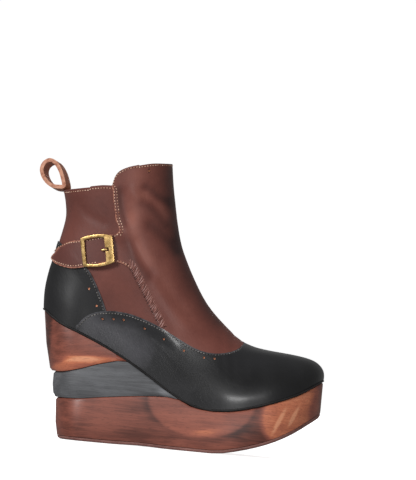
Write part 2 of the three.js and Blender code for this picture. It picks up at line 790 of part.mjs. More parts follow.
const makeOutsole = () => soleLayer({
  top: outsoleTop,
  bottom: groundZ,
  narrow: 2,
  levels: [
    { height: 0, back: TREAD_BACK, margin: 1.4 },
    { height: 0.45, back: TREAD_BACK - 1, margin: 0.2 },
    { height: 1, back: TREAD_BACK - 1.4, margin: 0 },
  ],
});
const makePlatform = () => soleLayer({
  top: (x) => (x > MIDDLE_FRONT * LENGTH ? woodTop(x) : Math.min(middleBase(x) - GAP, woodTop(x))),
  bottom: (x) => outsoleTop(x) + GAP,
  narrow: 2,
  levels: [
    { height: 0, back: TREAD_BACK - 1.6, margin: 0 },
    { height: 0.35, back: PLATFORM_BACK + 1.4, margin: 0 },
    { height: 0.94, back: PLATFORM_BACK, margin: 0 },
    { height: 1, back: PLATFORM_BACK + 0.8, margin: 0.7 },
  ],
});
const makeMiddle = () => soleLayer({
  front: MIDDLE_FRONT,
  steps: WEDGE_STATIONS,
  top: (x) => Math.min(wedgeBase(x) - GAP, woodTop(x)),
  bottom: middleBase,
  narrow: 2,
  levels: [
    { height: 0, back: MIDDLE_BACK + 2.4, margin: 1.2 },
    { height: 0.16, back: MIDDLE_BACK + 0.8, margin: 0.3 },
    { height: 0.5, back: MIDDLE_BACK, margin: 0 },
    { height: 0.9, back: MIDDLE_BACK, margin: 0 },
    { height: 1, back: MIDDLE_BACK + 0.8, margin: 0.7 },
  ],
});
const makeWedge = () => soleLayer({
  front: WEDGE_FRONT,
  steps: WEDGE_STATIONS,
  top: woodTop,
  bottom: wedgeBase,
  narrow: 1,
  levels: [
    { height: 0, back: WEDGE_BACK + 1.6, margin: 0.7 },
    { height: 0.05, back: WEDGE_BACK, margin: 0.3 },
    { height: 0.5, back: WEDGE_BACK / 2, margin: 0.1 },
    { height: 1, back: 0, margin: 0 },
  ],
});
const makeRand = () => soleLayer({
  steps: COLUMNS / 2,
  top: (x) => featherZ(clamp(x, 0, LENGTH)),
  bottom: (x) => featherZ(clamp(x, 0, LENGTH)) - RAND_THICKNESS,
  levels: [
    { height: 0, back: 0, margin: -RAND_LIP * 0.5 },
    { height: 0.5, back: 0, margin: -RAND_LIP },
    { height: 1, back: 0, margin: -RAND_LIP * 0.5 },
  ],
});
const INSOLE_MARGIN = OVERLAY_THICKNESS + UPPER_WALL + 4 * GAP;
const makeInsole = () => soleLayer({
  steps: COLUMNS / 2,
  top: (x) => featherZ(x) + GAP + INSOLE_THICKNESS,
  bottom: (x) => featherZ(x) + GAP,
  levels: [
    { height: 0, back: 0, margin: INSOLE_MARGIN },
    { height: 1, back: 0, margin: INSOLE_MARGIN + 0.5 },
  ],
});

// Middle of the pull loop's leather, as shares of its height from the back of the collar
const LOOP_HEIGHT = 24;
const LOOP_PATH = [
  { x: 0.33, z: 0.06 },
  { x: 0.27, z: 0.38 },
  { x: 0.14, z: 0.7 },
  { x: -0.03, z: 0.9 },
  { x: -0.19, z: 0.94 },
  { x: -0.33, z: 0.83 },
  { x: -0.43, z: 0.62 },
  { x: -0.4, z: 0.42 },
  { x: -0.28, z: 0.22 },
  { x: -0.13, z: 0.04 },
  { x: 0.06, z: 0 },
  { x: 0.22, z: 0 },
];
function makeLoop() {
  const [baseX, baseZ] = backLine(1);
  const lift = GAP + LOOP_THICKNESS / 2;
  const path = LOOP_PATH.map(({ x, z }) => new THREE.Vector3(
    baseX - 4 + x * LOOP_HEIGHT,
    baseZ + lift + z * LOOP_HEIGHT,
    0,
  ));
  const curve = new THREE.CatmullRomCurve3(path, true, 'centripetal');
  const steps = 36;
  const side = (offset) => {
    const points = [];
    for (let i = 0; i < steps; i += 1) {
      const p = curve.getPointAt(i / steps);
      const t = curve.getTangentAt(i / steps);
      points.push([p.x + t.y * offset, p.y - t.x * offset]);
    }
    return points;
  };
  const half = LOOP_THICKNESS / 2;
  const loop = solid(prism(side(half), -LOOP_WIDTH / 2, LOOP_WIDTH / 2, side(-half)));
  const room = solid(shell(-UPPER_WALL - GAP, GAP));
  return geometryFrom(loop.subtract(room.add(room.translate([0, 0, GAP]))));
}

// Buckle, in a plane on the strap; the frame is bowed to follow the ankle
const BUCKLE_X = LENGTH * 0.172;
const BUCKLE_Z = HEEL_HEIGHT + SHAFT_HEIGHT * 0.397;
const BUCKLE_TURN = 0.21;
const BUCKLE_BOW = 1.1;
const BUCKLE_CORNER = 3;
const CUT_DEPTH = 9;
const NOTCH_LENGTH = 5;
const buckleSeat = seat(BUCKLE_X, BUCKLE_Z, -1, BUCKLE_TURN);
const buckleRoom = solid(shell(-UPPER_WALL, strapOutside + GAP));

function roundedBox(width, height, radius) {
  const shape = new THREE.Shape();
  const [w, h] = [width / 2, height / 2];
  shape.moveTo(-w + radius, -h);
  shape.lineTo(w - radius, -h);
  shape.absarc(w - radius, -h + radius, radius, -Math.PI / 2, 0, false);
  shape.absarc(w - radius, h - radius, radius, 0, Math.PI / 2, false);
  shape.absarc(-w + radius, h - radius, radius, Math.PI / 2, Math.PI, false);
  shape.absarc(-w + radius, -h + radius, radius, Math.PI, Math.PI * 1.5, false);
  return shape;
}

function plate(width, height, thickness, radius, x = 0, y = 0, z = 0) {
  const shape = roundedBox(width, height, radius);
  const geometry = new THREE.ExtrudeGeometry(shape, {
    depth: thickness,
    bevelEnabled: false,
    curveSegments: 3,
  });
  return geometry.translate(x, y, z);
}

function bow(geometry, depth, width) {
  const position = geometry.attributes.position;
  for (let i = 0; i < position.count; i += 1) {
    const share = (2 * position.getX(i)) / width;
    position.setZ(i, position.getZ(i) - depth * share * share);
  }
  return geometry;
}

function makeBuckle() {
  const low = strapOutside - 1.6;
  const outer = solid(plate(BUCKLE_WIDTH, BUCKLE_HEIGHT, BUCKLE_WIRE + 1.8, BUCKLE_CORNER, 0, 0, low));
  const windowWidth = BUCKLE_WIDTH - BUCKLE_WIRE - PLATE_WIDTH;
  const windowX = (BUCKLE_WIRE - PLATE_WIDTH) / 2;
  const windowHeight = BUCKLE_HEIGHT - 2 * BUCKLE_WIRE;
  const gap = solid(plate(windowWidth, windowHeight, CUT_DEPTH, 1.5, windowX, 0, low - 2));
  const notchX = BUCKLE_WIDTH / 2 - PLATE_WIDTH;
  const notchWidth = PRONG_WIDTH + 2 * GAP;
  const notch = solid(plate(NOTCH_LENGTH, notchWidth, CUT_DEPTH, 0.5, notchX, 0, low - 2));
  const frame = geometryFrom(outer.subtract(gap).subtract(notch));
  bow(frame, BUCKLE_BOW, BUCKLE_WIDTH);
  frame.applyMatrix4(buckleSeat);
  return geometryFrom(solid(frame).subtract(buckleRoom));
}

function makeProng() {
  const length = 8;
  const x = BUCKLE_WIDTH / 2 - PLATE_WIDTH + 2 - length / 2;
  const bar = plate(length, PRONG_WIDTH, BUCKLE_WIRE + 1.4, 1.2, x, 0, strapOutside - 1.4);
  bow(bar, BUCKLE_BOW, BUCKLE_WIDTH);
  bar.applyMatrix4(buckleSeat);
  return geometryFrom(solid(bar).subtract(buckleRoom));
}

// Zip slider with its pin, and the pull tab that hangs from it
const SLIDER_X = LENGTH * 0.176;
const SLIDER_Z = HEEL_HEIGHT + SHAFT_HEIGHT * 0.728;
const sliderSeat = seat(SLIDER_X, SLIDER_Z, 1, 0, true);
const sliderBase = teethInside + ZIP_TEETH_THICKNESS + 2 * GAP;
const BARREL = PIN_DIAMETER + 2 * GAP + 1.6;
const PIN_Y = -SLIDER_LENGTH / 2 - BARREL / 2 - GAP;
const PIN_Z = sliderBase + SLIDER_THICKNESS / 2 + 0.9;
const EAR = 1.2;
const EAR_INSIDE = 4.2;
const SIDES = 12;

// Round bar or washer along x in the seat's frame
function roundBar(diameter, length, y, z, x = 0) {
  const geometry = new THREE.CylinderGeometry(diameter / 2, diameter / 2, length, SIDES);
  return geometry.rotateZ(Math.PI / 2).translate(x, y, z);
}

function makeSlider() {
  const body = solid(plate(SLIDER_WIDTH, SLIDER_LENGTH, SLIDER_THICKNESS, 2, 0, 0, sliderBase));
  const top = sliderBase + SLIDER_THICKNESS - 0.4;
  const bridge = plate(2.6, SLIDER_LENGTH * 0.55, 1.9, 1, 0, SLIDER_LENGTH * 0.1, top);
  const pin = roundBar(PIN_DIAMETER, EAR_INSIDE + 2 * EAR, PIN_Y, PIN_Z);
  const reach = -SLIDER_LENGTH / 2 + 1 - PIN_Y + PIN_DIAMETER / 2 + 0.5;
  const earY = PIN_Y - PIN_DIAMETER / 2 - 0.5 + reach / 2;
  const ears = [-1, 1].map((side) => solid(plate(
    EAR,
    reach,
    SLIDER_THICKNESS + 0.8,
    0.5,
    (side * (EAR_INSIDE + EAR)) / 2,
    earY,
    sliderBase,
  )));
  const whole = body.add(solid(bridge)).add(solid(pin)).add(ears[0]).add(ears[1]);
  const geometry = geometryFrom(whole);
  geometry.applyMatrix4(sliderSeat);
  const room = solid(shell(-UPPER_WALL, teethInside + ZIP_TEETH_THICKNESS + GAP));
  return geometryFrom(solid(geometry).subtract(room));
}

function makeTab() {
  const barrelWidth = EAR_INSIDE - 2 * GAP;
  const barrel = solid(roundBar(BARREL, barrelWidth, PIN_Y, PIN_Z));
  const bore = solid(roundBar(PIN_DIAMETER + 2 * GAP, barrelWidth + 2, PIN_Y, PIN_Z));
  const neckLength = 4;
  const z = PIN_Z - TAB_THICKNESS / 2;
  const neck = plate(barrelWidth, neckLength, TAB_THICKNESS, 0.4, 0, PIN_Y - neckLength / 2 - 0.6, z);
  const leafY = PIN_Y - (TAB_LENGTH + neckLength) / 2;
  const leaf = plate(TAB_WIDTH, TAB_LENGTH - neckLength, TAB_THICKNESS, 0.8, 0, leafY, z);
  const cornerX = TAB_WIDTH / 2;
  const cornerY = leafY - (TAB_LENGTH - neckLength) / 2;
  const corner = plate(4, 4, TAB_THICKNESS + 2, 0.1, 0, 0, -1).rotateZ(Math.PI / 4);
  corner.translate(cornerX, cornerY, z);
  const whole = barrel.add(solid(neck)).add(solid(leaf)).subtract(bore).subtract(solid(corner));
  const geometry = geometryFrom(whole);
  return geometry.applyMatrix4(sliderSeat);
}

add('outsole', makeOutsole(), RUBBER);
add('platform', makePlatform(), WOOD);
add('wedge_middle', makeMiddle(), STAINED_WOOD);
add('wedge_top', makeWedge(), WOOD);
add('rand', makeRand(), BOARD);
add('insole', makeInsole(), LINING);
add('upper', makeUpper(), LEATHER);
add('foxing', makeFoxing(), BLACK_LEATHER);
add('heel_counter', makeCounter(), BLACK_LEATHER);
add('front_panel', makeFrontPanel(), LEATHER_RAISED);
add('strap', makeStrap(), LEATHER_RAISED);
add('pull_loop', makeLoop(), LEATHER);
add('buckle_frame', makeBuckle(), BRASS);
add('buckle_prong', makeProng(), BRASS);
add('zip_tape', makeTape(), TAPE);
add('zip_teeth', makeTeeth(), BRASS);
add('zip_end_stop', makeEndStop(), BRASS);
add('zip_slider', makeSlider(), OLD_BRASS);
add('zip_pull_tab', makeTab(), OLD_BRASS);

// The origin is on the ground under the middle of the boot
const box = new THREE.Box3().setFromObject(boot);
boot.position.set(-(box.min.x + box.max.x) / 2, -(box.min.y + box.max.y) / 2, -box.min.z);

export default boot;
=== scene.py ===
# %% [markdown]
# The imported model is the fixed frame of this scene: every solid is already at its real size and
# place, in metres. We load it first. The boot is a right one: the toe points along +X, the buckle
# side looks to -Y and the zip side to +Y.

# %% Load the frame
import math
import bpy
import bmesh
import numpy as np
from mathutils import Matrix, Vector
from mathutils.bvhtree import BVHTree


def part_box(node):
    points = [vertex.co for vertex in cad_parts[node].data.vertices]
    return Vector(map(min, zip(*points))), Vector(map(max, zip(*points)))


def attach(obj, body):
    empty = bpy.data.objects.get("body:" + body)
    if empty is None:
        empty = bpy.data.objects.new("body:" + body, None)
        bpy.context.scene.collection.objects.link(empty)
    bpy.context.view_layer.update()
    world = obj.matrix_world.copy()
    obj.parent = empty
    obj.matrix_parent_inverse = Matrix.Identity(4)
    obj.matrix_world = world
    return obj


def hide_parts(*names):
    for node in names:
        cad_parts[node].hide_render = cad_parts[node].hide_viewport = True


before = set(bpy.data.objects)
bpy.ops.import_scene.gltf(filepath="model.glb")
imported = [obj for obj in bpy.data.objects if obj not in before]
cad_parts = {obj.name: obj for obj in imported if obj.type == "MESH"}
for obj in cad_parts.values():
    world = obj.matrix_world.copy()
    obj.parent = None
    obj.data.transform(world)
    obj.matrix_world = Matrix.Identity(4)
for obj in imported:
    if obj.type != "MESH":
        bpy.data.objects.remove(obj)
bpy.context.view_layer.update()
MM = 0.001

# %% [markdown]
# All places below are in millimetres, measured in side view from the back of the heel (x) and
# from the ground (z). The back of the heel and the middle line come from the frame: the rand sticks
# out by its lip behind the heel, and the pull loop sits on the middle line.

# %% Measuring from the heel
RAND_LIP = 0.8
HEEL_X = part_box("rand")[0][0] / MM + RAND_LIP
loop_low, loop_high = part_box("pull_loop")
MIDDLE_Y = (loop_low[1] + loop_high[1]) / 2 / MM
LATERAL = -1
MEDIAL = 1


def at(x, y, z):
    """A place in metres from millimetres behind the heel's back and the boot's middle line."""
    return Vector(((HEEL_X + x) * MM, (MIDDLE_Y + y) * MM, z * MM))


print("heel back at %.1f mm, middle line at %.1f mm" % (HEEL_X, MIDDLE_Y))

# %% [markdown]
# The photo looks square at the buckle side, with the boot turned by a few degrees in the picture,
# because the pair lay on its side. The camera repeats that: it looks along +Y and is rolled. The
# picture's middle and the size of a pixel were measured on the photo, in its 416 x 480 frame.

# %% Camera
IMAGE_WIDTH = 416
IMAGE_HEIGHT = 480
MM_PER_PIXEL = 0.845
CAMERA_DISTANCE = 7000
CAMERA_ROLL = math.radians(5.3)
PICTURE_MIDDLE = (132.9, 178.4)
SENSOR = 36


def make_camera():
    data = bpy.data.cameras.new("camera")
    data.sensor_width = SENSOR
    data.lens = SENSOR * CAMERA_DISTANCE / MM_PER_PIXEL / max(IMAGE_WIDTH, IMAGE_HEIGHT)
    camera = bpy.data.objects.new("camera", data)
    bpy.context.collection.objects.link(camera)
    spot = at(PICTURE_MIDDLE[0], -CAMERA_DISTANCE, PICTURE_MIDDLE[1])
    turn = Matrix.Rotation(math.radians(90), 4, "X") @ Matrix.Rotation(CAMERA_ROLL, 4, "Z")
    camera.matrix_world = Matrix.Translation(spot) @ turn
    bpy.context.scene.camera = camera
    return camera


camera = make_camera()
print("camera", [round(v, 3) for v in camera.location], "lens %.0f" % camera.data.lens)

# %% [markdown]
# Blender's tools work on whatever is selected, so each step starts by selecting one object alone.
# These few helpers keep the modelling steps short: one object active, a modifier added and applied
# at once, and a merged copy of a frame solid, because a frame solid itself is never changed.

# %% Helpers for modelling
MERGE = 0.01


def only(obj):
    if bpy.context.mode != "OBJECT":
        bpy.ops.object.mode_set(mode="OBJECT")
    bpy.ops.object.select_all(action="DESELECT")
    obj.select_set(True)
    bpy.context.view_layer.objects.active = obj
    return obj


def edit(obj):
    only(obj)
    bpy.ops.object.mode_set(mode="EDIT")
    return obj


def done():
    bpy.ops.object.mode_set(mode="OBJECT")


def apply(obj, kind, **settings):
    only(obj)
    modifier = obj.modifiers.new(kind.lower(), kind)
    for key, value in settings.items():
        setattr(modifier, key, value)
    bpy.ops.object.modifier_apply(modifier=modifier.name)
    return obj


def join_all(objs):
    only(objs[0])
    for obj in objs:
        obj.select_set(True)
    bpy.ops.object.join()
    return objs[0]


def copy_of(obj, name):
    twin = bpy.data.objects.new(name, obj.data.copy())
    bpy.context.collection.objects.link(twin)
    twin.data.name = name
    twin.data.materials.clear()
    return twin


def merged_copy(node, name):
    twin = copy_of(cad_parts[node], name)
    edit(twin)
    bpy.ops.mesh.select_all(action="SELECT")
    bpy.ops.mesh.remove_doubles(threshold=MERGE * MM)
    done()
    return twin


print("the frame's upper has", len(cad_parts["upper"].data.vertices), "points")

# %% [markdown]
# Some changes are easier to work out than to push about by hand, such as a crease that follows
# the surface. These helpers read all of a mesh's points at once as rows of x, y and z, and write
# them back. in_mm gives the same points as we measure them: from the back of the heel, from the
# middle line and from the ground.

# %% Points of a mesh


def places(obj):
    flat = np.empty(len(obj.data.vertices) * 3)
    obj.data.vertices.foreach_get("co", flat)
    return flat.reshape(-1, 3)


def set_places(obj, values):
    obj.data.vertices.foreach_set("co", np.asarray(values, dtype=float).ravel())
    obj.data.update()


def normals(obj):
    flat = np.empty(len(obj.data.vertices) * 3)
    obj.data.vertex_normals.foreach_get("vector", flat)
    return flat.reshape(-1, 3)


def in_mm(obj):
    co = places(obj) / MM
    return co[:, 0] - HEEL_X, co[:, 1] - MIDDLE_Y, co[:, 2]


def eased(share):
    """A share between zero and one that starts and ends gently."""
    share = np.clip(share, 0, 1)
    return share * share * (3 - 2 * share)


upper_heights = in_mm(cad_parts["upper"])[2]
print("upper from %.1f to %.1f mm high" % (upper_heights.min(), upper_heights.max()))

# %% [markdown]
# A finished piece gets its shading, its material and the body that it moves with. Where it takes
# the place of a solid of the frame, that solid is hidden.

# %% Finishing a piece
BODY = "boot"


def smooth(obj, angle=40):
    only(obj)
    bpy.ops.object.shade_smooth_by_angle(angle=math.radians(angle))
    return obj


def finish_piece(obj, material, body=BODY, nodes=(), angle=40):
    smooth(obj, angle)
    obj.data.materials.clear()
    obj.data.materials.append(material)
    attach(obj, body)
    if nodes:
        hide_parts(*nodes)
    print(obj.name, len(obj.data.polygons), "faces")
    return obj


print("pieces ride on", BODY, "unless they name another body")

# %% [markdown]
# A real upper is pulled over a last, so everything on it follows one smooth form. We take that
# form from the frame's upper: a merged copy, its outer face alone, turned back into quads. A
# Subdivision Surface rounds it, but it also pulls the form in a little. Moving the cage out by
# that shortfall a few times makes the smooth form pass through the frame's own points.

# %% The last's form
FINE = 3
FIT_ROUNDS = 3
RIM_TURN = math.radians(48)


def walk_rim(mesh):
    """The face corners along the collar's open edge, once round from its highest edge."""
    rims = [edge for edge in mesh.edges if edge.is_boundary]
    loop = max(rims, key=lambda edge: edge.verts[0].co.z).link_loops[0]
    walked = []
    while loop not in walked:
        walked.append(loop)
        onward = [edge for edge in loop.vert.link_edges if edge.is_boundary and edge != loop.edge]
        loop = onward[0].link_loops[0]
    return walked


def join_triangles(obj):
    """Walks down from the collar's rim and joins the two triangles of each quad."""
    mesh = bmesh.new()
    mesh.from_mesh(obj.data)
    row = walk_rim(mesh)
    diagonals = []
    while row:
        below = []
        for loop in row:
            diagonal = loop.link_loop_prev
            diagonals.append(diagonal.edge)
            base = diagonal.link_loop_radial_next.link_loop_next
            if not base.edge.is_boundary:
                below.append(base.link_loop_radial_next)
        row = below
    bmesh.ops.dissolve_edges(mesh, edges=diagonals, use_verts=False)
    mesh.to_mesh(obj.data)
    mesh.free()


def make_form():
    """The outer face of the frame's upper, up to where the wall turns over at its open edges."""
    form = merged_copy("upper", "form")
    widest = max(form.data.polygons, key=lambda face: face.center.y)
    start = widest.index
    edit(form)
    bpy.ops.mesh.select_mode(type="FACE")
    bpy.ops.mesh.select_all(action="DESELECT")
    done()
    form.data.polygons[start].select = True
    edit(form)
    bpy.ops.mesh.faces_select_linked_flat(sharpness=RIM_TURN)
    bpy.ops.mesh.select_all(action="INVERT")
    bpy.ops.mesh.delete(type="FACE")
    done()
    join_triangles(form)
    target = places(form)
    cage = target.copy()
    count = len(target)
    for _ in range(FIT_ROUNDS):
        set_places(form, cage)
        trial = copy_of(form, "trial")
        apply(trial, "SUBSURF", levels=FINE, render_levels=FINE)
        cage += target - places(trial)[:count]
        bpy.data.objects.remove(trial)
    set_places(form, cage)
    apply(form, "SUBSURF", levels=FINE, render_levels=FINE)
    return form


form = make_form()
corner_counts = {len(face.vertices) for face in form.data.polygons}
print("form", len(form.data.polygons), "faces, corners of a face:", corner_counts)

# %% [markdown]
# A pattern maker draws a panel with a few points and a flexible curve. We do the same: a
# Catmull-Rom curve runs through each given point. Blender's own curve objects could draw it too,
# but here we need the points as numbers, to move a line sideways or to measure along it.

# %% Smooth lines
STEP = 1.0


def rounded(points, closed=False, step=STEP):
    """A smooth line through given points, sampled about every step millimetres."""
    points = [np.array(p, dtype=float) for p in points]
    count = len(points)
    line = []
    for i in range(count if closed else count - 1):
        if closed:
            a, b, c, d = (points[(i + k) % count] for k in (-1, 0, 1, 2))
        else:
            b, c = points[i], points[i + 1]
            a = points[i - 1] if i else 2 * b - c
            d = points[i + 2] if i + 2 < count else 2 * c - b
        pieces = max(1, int(np.linalg.norm(c - b) / step))
        for k in range(pieces):
            t = k / pieces
            bend = 2 * b + (c - a) * t + (2 * a - 5 * b + 4 * c - d) * t * t
            line.append(0.5 * (bend + (3 * b - a - 3 * c + d) * t ** 3))
    if not closed:
        line.append(points[-1])
    return np.array(line)


def beside(line, distance):
    """The line moved sideways: to its left as it runs, seen with x right and z up."""
    ahead = np.gradient(line, axis=0)
    ahead /= np.linalg.norm(ahead, axis=1)[:, None]
    return line + distance * np.stack([-ahead[:, 1], ahead[:, 0]], axis=1)


def join_lines(*lines):
    return np.concatenate([np.array(line, dtype=float).reshape(-1, 2) for line in lines])


print("a line of", len(rounded([(0, 0), (10, 0), (10, 10)])), "points through three")

# %% [markdown]
# These are the outlines of the overlays and the run of the zip, in side view, one for each side of
# the boot where they differ. They were chosen while looking at the photo.

# %% Outlines of the overlays
FOXING_LATERAL = rounded([
    (28.6, 60), (28.6, 93), (30.4, 97.5), (33.6, 101.9), (37.6, 105.5), (41.9, 108), (47.2, 109.9),
    (52.4, 110.8), (58.6, 111.5), (64.8, 111.3), (71.2, 110.7), (77.5, 109.4), (88.6, 106),
    (98.2, 102.2), (107.1, 98), (118.4, 92.1), (129.6, 87), (140.6, 84.2), (151.4, 84.2),
    (161.8, 86.9), (168.6, 91.2), (171.8, 97), (173.6, 110)])
FOXING_MEDIAL = rounded([
    (38.9, 60), (38.9, 95), (45.8, 102), (53, 106), (62, 108.5), (70, 108.4), (79, 106.7),
    (92, 102.5), (109.4, 95.7), (127, 88.8), (143, 85.6), (153, 85.9), (162, 88), (167.5, 91.2),
    (170.5, 96), (173, 110)])
COUNTER_LATERAL = rounded([
    (-20, 172), (3, 167.5), (8.1, 165.3), (18, 158), (27.2, 150.8), (34.4, 144.6), (38.4, 139.4),
    (42.3, 133), (46, 126), (49.2, 119.7), (53, 110.7), (58, 96)])
COUNTER_MEDIAL = rounded([
    (-20, 172), (3, 166.5), (7.5, 162.5), (12.7, 159), (19, 155), (26.3, 149), (33.7, 141.2),
    (41.3, 132.7), (48, 124), (56.9, 109.3), (64, 96)])
PANEL_TOP = rounded([
    (48, 250), (48.2, 217), (49.3, 213), (50.6, 204.6), (52.5, 196), (54.3, 188), (56.2, 184),
    (57.7, 180.7), (57.3, 178.2), (55.6, 176.4), (53, 175), (50, 174)])
PANEL_LOW = rounded([
    (50, 153.4), (55.6, 152.8), (61, 152.5), (65.1, 151.1), (68.9, 148.6), (72.6, 143.3),
    (78.9, 133.1), (87.3, 119.6), (93.6, 109.5), (98.1, 102), (106, 88)])
ZIP_LINE = rounded([
    (41.2, 213), (43.9, 204.4), (44.3, 196), (44.5, 187.6), (46.5, 175), (50, 160.4), (54.2, 146.5),
    (59.2, 134.3), (64, 122.2), (69.8, 110), (75.5, 99), (82.4, 88.6)])


ZIP_TAPE_HALF = 4.7
ZIP_FRONT = beside(ZIP_LINE, ZIP_TAPE_HALF)
ZIP_BACK = beside(ZIP_LINE, -ZIP_TAPE_HALF)
print("outlines of", [len(line) for line in (FOXING_LATERAL, COUNTER_LATERAL, PANEL_TOP)], "points")

# %% [markdown]
# Panels of leather are cut flat and sewn over one another, so each one shows its outline and a
# step of its own thickness. A panel could be modelled face by face, but then it wouldn't lie well
# on the boot. Here its outline is extruded into a cutter, and a shell of the form's surface, given
# the panel's thickness by Solidify, keeps only what lies inside it: a cookie cutter on a last.

# %% Cutters and shells
FAR = 300
OVERLAP = 0.4


def cutter(name, outline, low, high):
    """A side-view outline as a solid prism from one y to another, in millimetres."""
    mesh = bpy.data.meshes.new(name)
    corners = [at(x, low, z) for x, z in outline]
    mesh.from_pydata(corners, [], [tuple(range(len(corners)))])
    obj = bpy.data.objects.new(name, mesh)
    bpy.context.collection.objects.link(obj)
    edit(obj)
    bpy.ops.mesh.select_all(action="SELECT")
    bpy.ops.mesh.extrude_region_move(TRANSFORM_OT_translate={"value": (0, (high - low) * MM, 0)})
    bpy.ops.mesh.select_all(action="SELECT")
    bpy.ops.mesh.quads_convert_to_tris()
    bpy.ops.mesh.normals_make_consistent(inside=False)
    done()
    return obj


def cut(obj, tool, operation):
    apply(obj, "BOOLEAN", object=tool, operation=operation, solver="EXACT")
    bpy.data.objects.remove(tool)
    return obj


def two_sided(name, lateral, medial):
    """One cutter with its own outline on each side of the boot."""
    tool = cutter(name, lateral, -FAR / 2, OVERLAP)
    return cut(tool, cutter(name + "_medial", medial, -OVERLAP, FAR / 2), "UNION")


def shell(name, source, inside, outside, box=None):
    """The form's surface between two heights over it; box keeps only x and z inside (mm)."""
    obj = copy_of(source, name)
    set_places(obj, places(source) + normals(source) * inside * MM)
    if box:
        keep = [at(box[0], 0, box[2]), at(box[1], 0, box[3])]
        edit(obj)
        bpy.ops.mesh.select_all(action="DESELECT")
        done()
        for face in obj.data.polygons:
            spot = face.center
            face.select = not (keep[0].x < spot.x < keep[1].x and keep[0].z < spot.z < keep[1].z)
        edit(obj)
        bpy.ops.mesh.delete(type="FACE")
        done()
    if outside != inside:
        apply(obj, "SOLIDIFY", thickness=(outside - inside) * MM, offset=1)
    return obj


print("cutters reach", FAR / 2, "mm to each side")

# %% [markdown]
# A cutter needs a closed outline. Each drawn line is closed here well outside the boot, below the
# sole or in front of the toe, where the exact place doesn't matter.

# %% Closed outlines
BELOW = -20
PANEL_FOOT = (116, 60)
PANEL_CORNERS = [(FAR, 60), (FAR, 250)]
STRAP_MOUTH = [(45.5, 173), (47.5, 154)]
ZIP_POINT = (82, 80)


def closed_foxing(line):
    return join_lines(line, [(FAR, 170), (FAR, BELOW), (line[0, 0], BELOW)])


def closed_counter(line):
    return join_lines(line, [(line[-1, 0], BELOW), (line[0, 0], BELOW)])


foxing_outlines = (closed_foxing(FOXING_LATERAL), closed_foxing(FOXING_MEDIAL))
counter_outlines = (closed_counter(COUNTER_LATERAL), closed_counter(COUNTER_MEDIAL))
panel_outlines = (
    join_lines(PANEL_TOP, STRAP_MOUTH, PANEL_LOW, PANEL_FOOT, PANEL_CORNERS),
    join_lines((41, 250), ZIP_FRONT, (84, 60), PANEL_CORNERS),
)
tape_outline = join_lines(ZIP_FRONT, ZIP_POINT, ZIP_BACK[::-1])
zip_slot = join_lines(tape_outline, [(30, 250), (50, 250)])
print("outlines", len(foxing_outlines[0]), len(panel_outlines[0]), "points")

# %% [markdown]
# The frame's collar rises in a soft step. On the real boot the low rear part ends square, and the
# front panel starts beside it with a steep, rounded shoulder. It could be cut out of the form, but
# then the rim would lose its even row of faces. So the points near the rim are moved up or down
# instead, the most at the rim and none a little way below it.

# %% The collar's square step
COLLAR_STEEP = rounded([
    (30, 214.2), (38.9, 215.9), (44, 216.4), (47.8, 216.6), (48.8, 217.6), (49.3, 221.2), (50.6, 225.2),
    (54.2, 229.6), (61.1, 233.3), (69.5, 235.9)], step=0.5)
COLLAR_DEEP = 16
COLLAR_LOW = 180


def rim_line(obj, side):
    """The rim's height over x on one side, from the open edge at the collar."""
    mesh = bmesh.new()
    mesh.from_mesh(obj.data)
    spots = [(v.co.x / MM - HEEL_X, v.co.z / MM) for v in mesh.verts
             if v.is_boundary and v.co.z > COLLAR_LOW * MM and v.co.y * side > 0]
    mesh.free()
    return np.array(sorted(spots))


def square_step(obj, side=LATERAL):
    x, y, z = in_mm(obj)
    rim = rim_line(obj, side)
    now = np.interp(x, rim[:, 0], rim[:, 1])
    wanted = np.interp(x, COLLAR_STEEP[:, 0], COLLAR_STEEP[:, 1])
    share = eased(1 - (now - z) / COLLAR_DEEP) * (y * side > 0)
    share *= (x > COLLAR_STEEP[0, 0]) & (x < COLLAR_STEEP[-1, 0])
    raised = (wanted - now) * share
    moved = places(obj)
    moved[:, 2] += raised * MM
    set_places(obj, moved)
    return raised


raised = square_step(form)
print("collar moved from %.2f to %.2f mm" % (raised.min(), raised.max()))

# %% [markdown]
# An overlay adds its thickness to the boot's outline. The maker's last allows for that, and the
# form does too: it yields under each overlay, softly from the overlay's edge inwards. Where two
# overlays lie on each other, the one further down in DRAWN_IN decides.

# %% Room under the overlays


def distance_to(line, x, z):
    """Distance in side view from many points to a sampled line, in millimetres."""
    best = np.full(len(x), np.inf)
    for a, b in zip(line, line[1:]):
        along = b - a
        size = max(1e-9, float(along @ along))
        t = np.clip(((x - a[0]) * along[0] + (z - a[1]) * along[1]) / size, 0, 1)
        gap = np.hypot(x - a[0] - t * along[0], z - a[1] - t * along[1])
        best = np.minimum(best, gap)
    return best


def inside(outline, x, z):
    """True for the points that lie within a closed outline, by counting crossings."""
    crossings = np.zeros(len(x), dtype=int)
    for a, b in zip(outline, np.roll(outline, -1, axis=0)):
        spans = (a[1] > z) != (b[1] > z)
        height = np.where(spans, b[1] - a[1], 1)
        crossings += spans & (x < a[0] + (b[0] - a[0]) * (z - a[1]) / height)
    return crossings % 2 == 1


DRAWN_FADE = 12
DRAWN_IN = [
    {"depth": 1.0, "outlines": panel_outlines,
     "lines": (join_lines(PANEL_TOP, PANEL_LOW, PANEL_FOOT), ZIP_FRONT)},
    {"depth": 0.9, "outlines": counter_outlines, "lines": (COUNTER_LATERAL, COUNTER_MEDIAL)},
    {"depth": 1.2, "outlines": foxing_outlines, "lines": (FOXING_LATERAL, FOXING_MEDIAL)},
]


